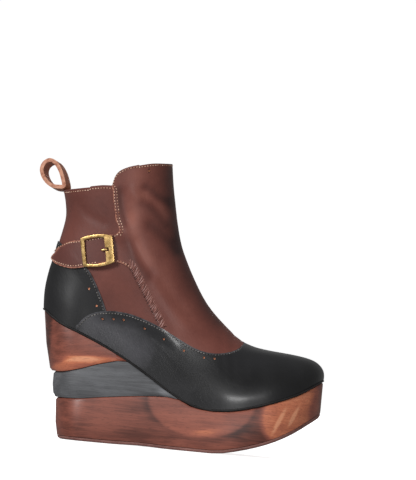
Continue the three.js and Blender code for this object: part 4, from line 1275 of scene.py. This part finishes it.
def collar_ring(depth, height):
    """Points a little below the rim, all the way round from the back over the buckle side."""
    mesh = bmesh.new()
    mesh.from_mesh(form.data)
    ring = [loop.vert.co.copy() for loop in walk_rim(mesh)]
    mesh.free()
    back = min(range(len(ring)), key=lambda i: ring[i].x)
    ring = ring[back:] + ring[:back]
    low = Vector((0, 0, -depth * MM))
    found = [surface.find_nearest(place + low) for place in ring]
    return [(spot + normal * height * MM, normal) for spot, normal, _, _ in found]


def walk(spots, pitch, start=0.5):
    """Even steps along a traced row: place, direction and normal of each."""
    frames = []
    travelled = 0.0
    due = pitch * start
    for (a, normal), (b, _) in zip(spots, spots[1:]):
        step = (b - a).length / MM
        while step > 0 and travelled + step >= due:
            place = a.lerp(b, (due - travelled) / step)
            frames.append((place, (b - a).normalized(), normal))
            due += pitch
        travelled += step
    return frames


def stand(place, ahead, up):
    """The matrix that puts a part with X along ahead and Z along up at a place."""
    across = up.cross(ahead).normalized()
    up = ahead.cross(across).normalized()
    turn = Matrix((ahead, across, up)).transposed().to_4x4()
    return Matrix.Translation(place) @ turn


def lay(name, unit, frames):
    """One copy of the unit at each frame, joined into one piece."""
    copies = []
    for place, ahead, up in frames:
        twin = copy_of(unit, name)
        twin.data.transform(stand(place, ahead, up))
        copies.append(twin)
    piece = join_all(copies)
    piece.name = name
    return piece


print("rim of", len(collar_ring(0, 0)), "points")

# %% [markdown]
# A stitch seen from a step away is a short, plump grain of thread between two needle holes. It
# could be painted, but real thread stands up and catches the light. So one stitch is modelled from
# a small sphere, and each copy lies along its row; a dark speck between two stitches is painted
# shade, standing for the shadow inside the needle hole.

# %% Stitches
STITCH = (0.85, 0.42, 0.34)
STITCH_PITCH = 2.5
NEEDLE_HOLE = (0.3, 0.42, 0.12)
COLLAR_STEP = 48.5
COLLAR_BACK = 8
PANEL_SEAM = 1.4
REAR_SEAM = 2.3
ZIP_SEAMS = (ZIP_TAPE_HALF + 1.6, ZIP_TAPE_HALF + 3.8)
BLACK_SEAM = -1.8
STRAP_SEAM = 1.9
TAN_THREAD = srgb(242, 206, 182)
GREY_THREAD = srgb(146, 142, 138)


def thread(name, colour, shade):
    """Twisted thread: fine slanting ridges, a little darker where dirt has settled."""
    material = new_material(name, roughness=0.75, specular=0.3)
    dirt = noise(material, object_place(material), 5, 3, 0.6)
    twist = noise(material, object_place(material, (0.3, 1, 0.3), (0, 0.6, 0)), 0.5, 1, 0.5)
    return set_shader(material, colour=ramp(material, dirt, 0.35, 0.65, (shade, colour)),
                      normal=bump(material, twist, 0.15, 0.6))


tan_thread = thread("tan_thread", TAN_THREAD, srgb(160, 104, 80))
grey_thread = thread("grey_thread", GREY_THREAD, srgb(60, 58, 58))


def make_stitch(size):
    bpy.ops.mesh.primitive_uv_sphere_add(segments=8, ring_count=5, radius=1)
    stitch = bpy.context.object
    stitch.name = "stitch"
    edit(stitch)
    bpy.ops.mesh.select_all(action="SELECT")
    bpy.ops.transform.rotate(value=math.radians(90), orient_axis="Y", center_override=(0, 0, 0))
    bpy.ops.transform.resize(value=[part * MM for part in size])
    done()
    return stitch


def cropped(line, low, high=FAR, left=-FAR):
    return [(x, z) for x, z in line if low < z < high and x > left]


FOXING_ROWS = [[(x, z) for x, z in line if (z > 95.5 or x > 60) and x < 169]
               for line in (FOXING_LATERAL, FOXING_MEDIAL)]


def collar_part(depth, height, side, front):
    """The collar's row on one side, over the front panel or over the low rear part."""
    row = []
    for place, normal in collar_ring(depth, height):
        x = place.x / MM - HEEL_X
        y = place.y / MM - MIDDLE_Y
        if y * side >= 0 and (x > COLLAR_STEP) == front and x > COLLAR_BACK:
            row.append((place, normal))
    return row


STRAP_ROWS = [STRAP_OUTLINE[(STRAP_OUTLINE[:, 1] > 157) & (STRAP_OUTLINE[:, 0] < 52)],
              STRAP_OUTLINE[(STRAP_OUTLINE[:, 1] < 149.5) & (STRAP_OUTLINE[:, 0] < 50)]]
STITCH_ROWS = {
    "tan": [
        trace(beside(cropped(PANEL_TOP, 174, 217), 1.1), LATERAL, PANEL_TOPSIDE),
        trace(beside(cropped(PANEL_TOP, 177, 217), 3.1), LATERAL, PANEL_TOPSIDE),
        trace(beside(cropped(PANEL_LOW, 146, 160, 57), 1.2), LATERAL, PANEL_TOPSIDE),
        trace(beside(STRAP_ROWS[0], STRAP_SEAM), LATERAL, STRAP_TOPSIDE),
        trace(beside(STRAP_ROWS[1], STRAP_SEAM), LATERAL, STRAP_TOPSIDE),
        collar_part(PANEL_SEAM, PANEL_TOPSIDE, LATERAL, True),
        collar_part(PANEL_SEAM, PANEL_TOPSIDE, MEDIAL, True),
        collar_part(REAR_SEAM, 0, LATERAL, False),
        collar_part(REAR_SEAM, 0, MEDIAL, False),
        trace(beside(cropped(ZIP_LINE, 106), ZIP_SEAMS[0]), MEDIAL, PANEL_TOPSIDE),
        trace(beside(cropped(ZIP_LINE, 106), ZIP_SEAMS[1]), MEDIAL, PANEL_TOPSIDE),
        trace(beside(cropped(ZIP_LINE, 109), -ZIP_SEAMS[0]), MEDIAL, 0),
        trace(beside(cropped(ZIP_LINE, 109), -ZIP_SEAMS[1]), MEDIAL, 0),
    ],
    "grey": [
        trace(beside(FOXING_ROWS[0], BLACK_SEAM), LATERAL, FOXING_TOPSIDE),
        trace(beside(FOXING_ROWS[1], BLACK_SEAM), MEDIAL, FOXING_TOPSIDE),
        trace(beside(cropped(COUNTER_LATERAL, 111, left=9), BLACK_SEAM), LATERAL, COUNTER_TOPSIDE),
        trace(beside(cropped(COUNTER_MEDIAL, 109, left=9), BLACK_SEAM), MEDIAL, COUNTER_TOPSIDE),
    ],
}


def sew(name, rows, material, size=STITCH, start=0.5):
    """One piece of thread or needle holes: the unit repeated along every row."""
    stitch = make_stitch(size)
    frames = []
    for row in rows:
        frames += walk(row, STITCH_PITCH, start)
    piece = lay(name, stitch, frames)
    bpy.data.objects.remove(stitch)
    return finish_piece(piece, material)


# Painted shade: a dark speck stands for the shadow inside each needle hole.
needle_hole_shade = new_material("needle_hole_shadows", colour=srgb(34, 20, 17), roughness=0.9, specular=0.1)
sew("tan_stitches", STITCH_ROWS["tan"], tan_thread)
sew("grey_stitches", STITCH_ROWS["grey"], grey_thread)
sew("needle_hole_shadows", STITCH_ROWS["tan"] + STITCH_ROWS["grey"], needle_hole_shade, NEEDLE_HOLE, 1.0)

# %% [markdown]
# Where the front panel turns under beside the buckle, its edge is drawn up into fine pleats, a
# crimped band about seven millimetres wide. Cloth simulation could gather it, but the pleats of
# stiff leather are small and even. So the band is a narrow grid laid along its own line on the
# form. Along it the pleats rise and fall, and each one leans and swells a little differently.

# %% Gathered band
BAND_LINE = beside(PANEL_LOW[(PANEL_LOW[:, 0] > 66) & (PANEL_LOW[:, 1] > 99)], 3.5)
BAND_WIDTH = 7.4
PLEAT_PITCH = 2.0
PLEAT_HEIGHT = 1.0
BAND_FINE = 0.28
BAND_ACROSS = 18
BAND_ROW_HEIGHT = PANEL_TOPSIDE - 0.15
BAND_FOOT = PANEL_TOPSIDE - 0.1
BAND_THICK = 0.4
BAND_TONE = 0.62
BAND_SHADOW = {"depth": 0.7, "reach": 1.3}
band_leather = leather("band_leather", srgb(50, 28, 25), srgb(122, 76, 68), srgb(176, 124, 112),
                       BURNISHED, rough=0.42, coat=0.15)


def band_height(along, across):
    """Height of the pleats in millimetres at a distance along the band, across from -1 to 1."""
    lean = 2.2 * across + 0.5 * math.sin(along * 0.9)
    wander = 0.35 * math.sin(along * 1.7 + 2 * across) + 0.25 * math.sin(along * 0.61)
    pleat = 0.5 + 0.5 * math.sin(2 * math.pi * (along + lean + wander) / PLEAT_PITCH)
    swell = 0.75 + 0.25 * math.sin(along * 0.8 + 1.9)
    return PLEAT_HEIGHT * pleat * swell * (1 - abs(across) ** 2.5)


def make_band():
    spots = trace(BAND_LINE, LATERAL, BAND_ROW_HEIGHT)
    frames = walk(spots, BAND_FINE)
    bpy.ops.mesh.primitive_grid_add(x_subdivisions=len(frames) - 1, y_subdivisions=BAND_ACROSS)
    band = bpy.context.object
    band.name = "gathered_band"
    grid = np.array([v.co[:] for v in band.data.vertices])
    order = np.lexsort((grid[:, 1], grid[:, 0]))
    rows = order.reshape(len(frames), BAND_ACROSS + 1)
    target = np.zeros_like(grid)
    for i, (place, ahead, up) in enumerate(frames):
        side = up.cross(ahead).normalized()
        for j, index in enumerate(rows[i]):
            across = 2 * j / BAND_ACROSS - 1
            guess = place + side * across * BAND_WIDTH / 2 * MM
            spot, normal, _, _ = surface.find_nearest(guess)
            height = BAND_FOOT + band_height(i * BAND_FINE, across)
            target[index] = spot + normal * height * MM
    set_places(band, target)
    edit(band)
    bpy.ops.mesh.select_all(action="SELECT")
    bpy.ops.mesh.normals_make_consistent(inside=False)
    done()
    if band.data.polygons[0].normal.y > 0:
        edit(band)
        bpy.ops.mesh.flip_normals()
        done()
    apply(band, "SOLIDIFY", thickness=BAND_THICK * MM, offset=-1)
    x, _, z = in_mm(band)
    shadow = np.exp(-(distance_to(PANEL_LOW, x, z) / BAND_SHADOW["reach"]) ** 2)
    paint(band, "tone_and_shading", BAND_TONE - BAND_SHADOW["depth"] * shadow)
    paint(band, "edge", np.zeros(len(x)))
    return finish_piece(band, band_leather, angle=60)


make_band()

# %% [markdown]
# Small round holes are punched along the overlays, and the tan leather below shows through them.
# Dark dots in the material would look flat from close by, so the holes are really cut: a round
# prism for each hole is taken out of the overlay, and a tan disc lies at the bottom of each.

# %% Punched holes
HOLE_RADIUS = 0.95
HOLE_CORNERS = 14
DISC_RADIUS = HOLE_RADIUS * 1.2
DISC_THICK = 0.5
DISC_HEIGHT = 0.25
tan_leather = new_material("tan_leather", colour=srgb(214, 138, 100), roughness=0.6)
FOXING_HOLES = {
    LATERAL: [(50.6, 104.1), (59.9, 104.9), (68.4, 104.9), (86.7, 99.4), (103.5, 92.0),
              (121.2, 83.9), (138.6, 79.7), (147.5, 79.6)],
    MEDIAL: [(54, 102), (86.5, 97.8), (101.9, 91.2), (108.9, 87.2), (117.3, 83.4), (136, 80.2)],
}
COUNTER_HOLES = {
    LATERAL: [(36.9, 128.3), (44.6, 114.6)],
    MEDIAL: [(10.7, 154.2), (20.6, 146.7), (29.9, 137.1), (39.5, 124.1)],
}
PANEL_HOLES = {
    LATERAL: [(78.2, 231.8)],
    MEDIAL: [(80, 230.2), (92, 232)],
}


def hole_outline(x, z):
    turns = np.linspace(0, 2 * math.pi, HOLE_CORNERS, endpoint=False)
    return [(x + HOLE_RADIUS * math.cos(turn), z + HOLE_RADIUS * math.sin(turn)) for turn in turns]


def punch(overlay, holes):
    tools = []
    for side, spots in holes.items():
        low, high = sorted((side * OVERLAP, side * FAR / 2))
        tools += [cutter("hole", hole_outline(x, z), low, high) for x, z in spots]
    cut(overlay, join_all(tools), "DIFFERENCE")
    smooth(overlay)


def hole_discs(*tables):
    bpy.ops.mesh.primitive_cylinder_add(vertices=HOLE_CORNERS, radius=DISC_RADIUS * MM,
                                        depth=DISC_THICK * MM)
    disc = bpy.context.object
    frames = []
    for holes in tables:
        for side, spots in holes.items():
            found = [on_form(x, z, side, DISC_HEIGHT) for x, z in spots]
            frames += [(place, normal.orthogonal(), normal) for place, normal in found]
    piece = lay("hole_linings", disc, frames)
    bpy.data.objects.remove(disc)
    return finish_piece(piece, tan_leather)


punch(foxing, FOXING_HOLES)
punch(heel_counter, COUNTER_HOLES)
punch(front_panel, PANEL_HOLES)
hole_discs(FOXING_HOLES, COUNTER_HOLES, PANEL_HOLES)

# %% [markdown]
# Cast brass is never one even colour: tarnish lies in clouds and the face is faintly hammered. The
# buckle is bright and fully metallic. The zip's metal is duller, and its side of the boot has
# little to reflect, so it is made partly metallic there, or it would turn dark olive.

# %% Metals
DULL = 0.55


def metal(name, colour, dark, rough, relief, size=1.3, metallic=1.0):
    """Cast metal: tarnish in clouds and in the low places, a faintly hammered face."""
    material = new_material(name, metallic=metallic, specular=0.5)
    place = object_place(material)
    tarnish = noise(material, place, 3.5, 4, 0.65)
    hammer = noise(material, place, size, 3, 0.6)
    share = add_shares(material, 0.0, (tarnish, 0.6), (hammer, 0.4))
    return set_shader(material, colour=ramp(material, share, 0.36, 0.58, (dark, colour)),
                      roughness=add_shares(material, rough - 0.15, (tarnish, 0.3)),
                      normal=bump(material, hammer, relief, 0.8))


brass = metal("brass", srgb(226, 190, 128), srgb(188, 148, 88), rough=0.34,
              relief=0.05)
old_brass = metal("old_brass", srgb(178, 154, 112), srgb(120, 98, 66), rough=0.42,
                  relief=0.08, size=0.8, metallic=DULL)
print("metals", brass.name, old_brass.name)

# %% [markdown]
# The buckle is cast brass: a frame with bowed bars at top and bottom, a slim bar towards the heel
# and a broad plate with a rough, hammered face towards the front, notched for the prong. Its outer
# and inner outlines are drawn in its own plane, the ring between them gets a thickness, its edges
# are rounded, and the whole is bowed a little round the ankle and stood on the strap. A bent wire
# along a curve would be easier, but the bars of this frame aren't round and differ in width.

# %% Buckle
BUCKLE_SPOT = (42.4, 161)
BUCKLE_TURN = math.radians(11)
BUCKLE_BOW = 1.1
BUCKLE_RING = 120
BUCKLE_OUTSIDE = [
    (-14.0, 10.6), (-13.2, 12.0), (-7, 13.1), (0, 13.6), (7, 13.0), (12.2, 11.6), (13.4, 10.2),
    (13.6, 0), (13.4, -10.2), (12.0, -11.4), (7, -12.8), (0, -13.5), (-7, -13.2), (-12.8, -12.2),
    (-13.8, -10.8), (-14.1, 0)]
BUCKLE_WINDOW = [
    (-10.9, 9.2), (-10.2, 10.2), (-6, 10.9), (-1, 11.2), (4.6, 10.7), (6.2, 10.3), (6.6, 9.6),
    (6.8, 0), (6.6, -9.6), (6.2, -10.4), (4.6, -10.7), (-1, -11.3), (-6, -11.1), (-10.0, -10.5),
    (-10.8, -9.6), (-11, 0)]
BUCKLE_THICK = 2.3
BUCKLE_HALF = 14
BUCKLE_GAP = 0.15
BUCKLE_EDGE = 0.75
CORNER = math.radians(50)
NOTCH = {"middle": (7.6, 0), "size": (4.2, 3.4), "low": 2, "high": 9}
PRONG = {"middle": (5.9, 0), "size": (5.6, 1.9), "low": STRAP_TOPSIDE + 0.2,
         "high": STRAP_TOPSIDE + BUCKLE_THICK + 0.2}
PRONG_EDGE = 0.7


def even(points, count):
    """A closed smooth outline resampled into a fixed number of even steps."""
    line = rounded(points, closed=True, step=0.2)
    line = np.vstack([line, line[:1]])
    run = np.concatenate([[0], np.cumsum(np.hypot(*np.diff(line, axis=0).T))])
    steps = np.linspace(0, run[-1], count, endpoint=False)
    return np.stack([np.interp(steps, run, line[:, 0]), np.interp(steps, run, line[:, 1])], axis=1)


def buckle_place():
    place, normal = on_form(*BUCKLE_SPOT, LATERAL, 0)
    across = Vector((1, 0, 0)) - normal * normal.x
    up = normal.cross(across.normalized())
    ahead = across.normalized() * math.cos(BUCKLE_TURN) + up * math.sin(BUCKLE_TURN)
    return stand(place, ahead, normal)


def bow_and_stand(piece):
    """Bows a flat part round the ankle and puts it on the strap."""
    co = places(piece)
    co[:, 2] -= BUCKLE_BOW * (co[:, 0] / (BUCKLE_HALF * MM)) ** 2 * MM
    set_places(piece, co)
    piece.data.transform(buckle_place())
    return piece


def cutter_box(middle, size, low, high):
    """A box in the buckle's own plane, in millimetres."""
    bpy.ops.mesh.primitive_cube_add(size=1)
    box = bpy.context.object
    edit(box)
    bpy.ops.mesh.select_all(action="SELECT")
    bpy.ops.transform.resize(value=(size[0] * MM, size[1] * MM, (high - low) * MM))
    bpy.ops.transform.translate(value=(middle[0] * MM, middle[1] * MM, (high + low) / 2 * MM))
    done()
    return box


def make_buckle():
    bpy.ops.mesh.primitive_circle_add(vertices=BUCKLE_RING)
    frame_ring = bpy.context.object
    frame_ring.name = "buckle"
    window = even(BUCKLE_WINDOW, BUCKLE_RING)
    outside = even(BUCKLE_OUTSIDE, BUCKLE_RING)
    low = (STRAP_TOPSIDE + BUCKLE_GAP) * MM
    set_places(frame_ring, [(x * MM, y * MM, low) for x, y in outside])
    edit(frame_ring)
    bpy.ops.mesh.select_all(action="SELECT")
    bpy.ops.mesh.extrude_edges_move(TRANSFORM_OT_translate={"value": (0, 0, 0)})
    done()
    co = places(frame_ring)
    co[BUCKLE_RING:] = [(x * MM, y * MM, low) for x, y in window]
    set_places(frame_ring, co)
    edit(frame_ring)
    bpy.ops.mesh.select_all(action="SELECT")
    bpy.ops.mesh.normals_make_consistent(inside=False)
    bpy.ops.mesh.extrude_region_move(TRANSFORM_OT_translate={"value": (0, 0, BUCKLE_THICK * MM)})
    bpy.ops.mesh.select_all(action="SELECT")
    bpy.ops.mesh.normals_make_consistent(inside=False)
    done()
    cut(frame_ring, cutter_box(**NOTCH), "DIFFERENCE")
    apply(frame_ring, "BEVEL", width=BUCKLE_EDGE * MM, segments=3, limit_method="ANGLE",
          angle_limit=CORNER)
    bow_and_stand(frame_ring)
    return finish_piece(frame_ring, brass, nodes=("buckle_frame",), angle=45)


def make_prong():
    prong = cutter_box(**PRONG)
    prong.name = "prong"
    apply(prong, "BEVEL", width=PRONG_EDGE * MM, segments=3)
    bow_and_stand(prong)
    return finish_piece(prong, brass, nodes=("buckle_prong",), angle=45)


make_buckle()
make_prong()

# %% [markdown]
# The pull loop is a folded strip of leather, sewn down at the back of the collar. A closed curve
# gives its run in side view. The strip is drawn out of that curve sideways, a little slanted, as
# the loop leans to the buckle side, and Solidify gives it the thickness of two leathers. A torus
# would be rounder than the loop is, and its section would be round too.

# %% Pull loop
LOOP_LINE = rounded([
    (9.6, 211.6), (8.0, 218.4), (5.0, 225.2), (0.6, 230.6), (-4.4, 232.2), (-8.6, 229.2),
    (-10.2, 224.2), (-8.6, 218.6), (-4.6, 213.6), (0.2, 210.9), (5.2, 210.5)], closed=True,
    step=0.8)
LOOP_WIDTH = 14
LOOP_THICK = 3.2
LOOP_LEAN = (4.6, 2.4)
LOOP_STRIPS = 8
LOOP_ROUND = 0.5
LOOP_EDGE = 1.6
LOOP_TONE = 0.56
loop_leather = leather("loop_leather", srgb(96, 52, 40), srgb(158, 98, 76), srgb(196, 136, 108),
                       srgb(214, 158, 130), rough=0.55, coat=0.05)


def make_loop():
    bpy.ops.mesh.primitive_circle_add(vertices=len(LOOP_LINE))
    loop = bpy.context.object
    loop.name = "pull_loop_leather"
    lean = (-LOOP_LEAN[0] / 2, -LOOP_WIDTH / 2, LOOP_LEAN[1] / 2)
    set_places(loop, [at(x + lean[0], lean[1], z + lean[2]) for x, z in LOOP_LINE])
    edit(loop)
    bpy.ops.mesh.select_all(action="SELECT")
    step = [-2 * part / LOOP_STRIPS * MM for part in lean]
    for _ in range(LOOP_STRIPS):
        bpy.ops.mesh.extrude_edges_move(TRANSFORM_OT_translate={"value": step})
    bpy.ops.mesh.select_all(action="SELECT")
    bpy.ops.mesh.normals_make_consistent(inside=False)
    done()
    apply(loop, "SOLIDIFY", thickness=LOOP_THICK * MM, offset=0)
    apply(loop, "BEVEL", width=LOOP_ROUND * MM, segments=2, limit_method="ANGLE",
          angle_limit=CORNER)
    y = in_mm(loop)[1]
    paint(loop, "tone_and_shading", np.full(len(y), LOOP_TONE))
    paint(loop, "edge", (np.abs(y) - LOOP_WIDTH / 2 + LOOP_EDGE) / LOOP_EDGE)
    return finish_piece(loop, loop_leather, nodes=("pull_loop",), angle=50)


make_loop()

# %% [markdown]
# The zip's tape is woven cloth. A checker pattern would be too even for it, so two noises cross
# each other like warp and weft: one is stretched along x and the other along z.

# %% Zip materials


def cloth(name, colour, light):
    """Woven cloth: threads that cross, made by two noises stretched along x and along z."""
    material = new_material(name, roughness=0.9, specular=0.2)
    warp = noise(material, object_place(material, (1, 1, 4)), 0.45, 1, 0.5)
    weft = noise(material, object_place(material, (4, 1, 1)), 0.45, 1, 0.5)
    weave = sums(material, "MULTIPLY", warp, weft)
    return set_shader(material, colour=ramp(material, weave, 0.15, 0.4, (colour, light)),
                      normal=bump(material, weave, 0.2, 0.7))


tape_cloth = cloth("tape_cloth", srgb(30, 28, 28), srgb(66, 60, 58))
zip_brass = metal("zip_brass", srgb(200, 168, 108), srgb(124, 98, 58), rough=0.4,
                  relief=0.1, metallic=DULL)
print("zip in", tape_cloth.name, "and", zip_brass.name)

# %% [markdown]
# The zip is on the inner side. Its teeth are stamped brass, and each side is set half a pitch from
# the other. A ribbon with painted stripes would do from afar, but real teeth catch the light one
# by one. So one tooth is modelled and laid along both sides of the chain. The slider, the pull
# tab and the end stop keep the frame's shapes with their edges broken.

# %% Zip
TAB_BODY = "zip_pull"
TAPE_UNDER = 0.3
TAPE_TOPSIDE = 1.1
TAPE_BOX = (30, 105, 65, 225)
TOOTH_PITCH = 2.1
TOOTH = (1.05, 2.7, 1.3)
TEETH_LOW = 101.5
TEETH_HIGH = 212.4
TOOTH_EDGE = 0.25
TOOTH_SIDE = 0.95
TOOTH_LIFT = 0.1


def make_tape():
    tape = shell("zip_tape_cloth", form, TAPE_UNDER, TAPE_TOPSIDE, TAPE_BOX)
    cut(tape, cutter("tape_outline", tape_outline, ZIP_SIDE, FAR / 2), "INTERSECT")
    return finish_piece(tape, tape_cloth, nodes=("zip_tape",))


def make_tooth():
    bpy.ops.mesh.primitive_cube_add(size=1)
    tooth = bpy.context.object
    edit(tooth)
    bpy.ops.mesh.select_all(action="SELECT")
    bpy.ops.transform.resize(value=[part * MM for part in TOOTH])
    done()
    apply(tooth, "BEVEL", width=TOOTH_EDGE * MM, segments=2)
    return tooth


def make_teeth():
    tooth = make_tooth()
    line = np.array(cropped(ZIP_LINE, TEETH_LOW, TEETH_HIGH))
    height = TAPE_TOPSIDE + TOOTH[2] / 2 + TOOTH_LIFT
    frames = []
    for side, start in ((-1, 0.25), (1, 0.75)):
        row = trace(beside(line, side * TOOTH_SIDE), MEDIAL, height)
        frames += walk(row, TOOTH_PITCH, start)
    teeth = lay("brass_teeth", tooth, frames)
    bpy.data.objects.remove(tooth)
    return finish_piece(teeth, zip_brass, nodes=("zip_teeth",), angle=45)


def polished(node_name, material, width, body=BODY):
    piece = merged_copy(node_name, node_name + "_metal")
    apply(piece, "BEVEL", width=width * MM, segments=2, limit_method="ANGLE",
          angle_limit=SHARP)
    return finish_piece(piece, material, body=body, nodes=(node_name,), angle=45)


make_tape()
make_teeth()
polished("zip_end_stop", zip_brass, 0.2)
polished("zip_slider", old_brass, 0.3)
polished("zip_pull_tab", old_brass, 0.25, TAB_BODY)

# %% [markdown]
# What is left keeps the frame's own solids and gets its material: the black rand between wood and
# leather, and the leather insole inside the boot. Both show only as a thin line or in shadow, so
# a finer shape would not be seen.

# %% Rand and insole


def dress(node_name, material):
    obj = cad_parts[node_name]
    obj.data.materials.clear()
    obj.data.materials.append(material)
    print(node_name, "in", material.name)


dress("rand", plain_stuff("black_board", srgb(20, 19, 19), srgb(44, 42, 42), rough=0.6, size=0.8,
                          relief=0.1))
dress("insole", plain_stuff("insole_leather", srgb(150, 108, 82), srgb(190, 148, 118), rough=0.65,
                            size=0.9, relief=0.1))

# %% [markdown]
# The form has served its purpose and goes.

# %% The form goes
bpy.data.objects.remove(form)
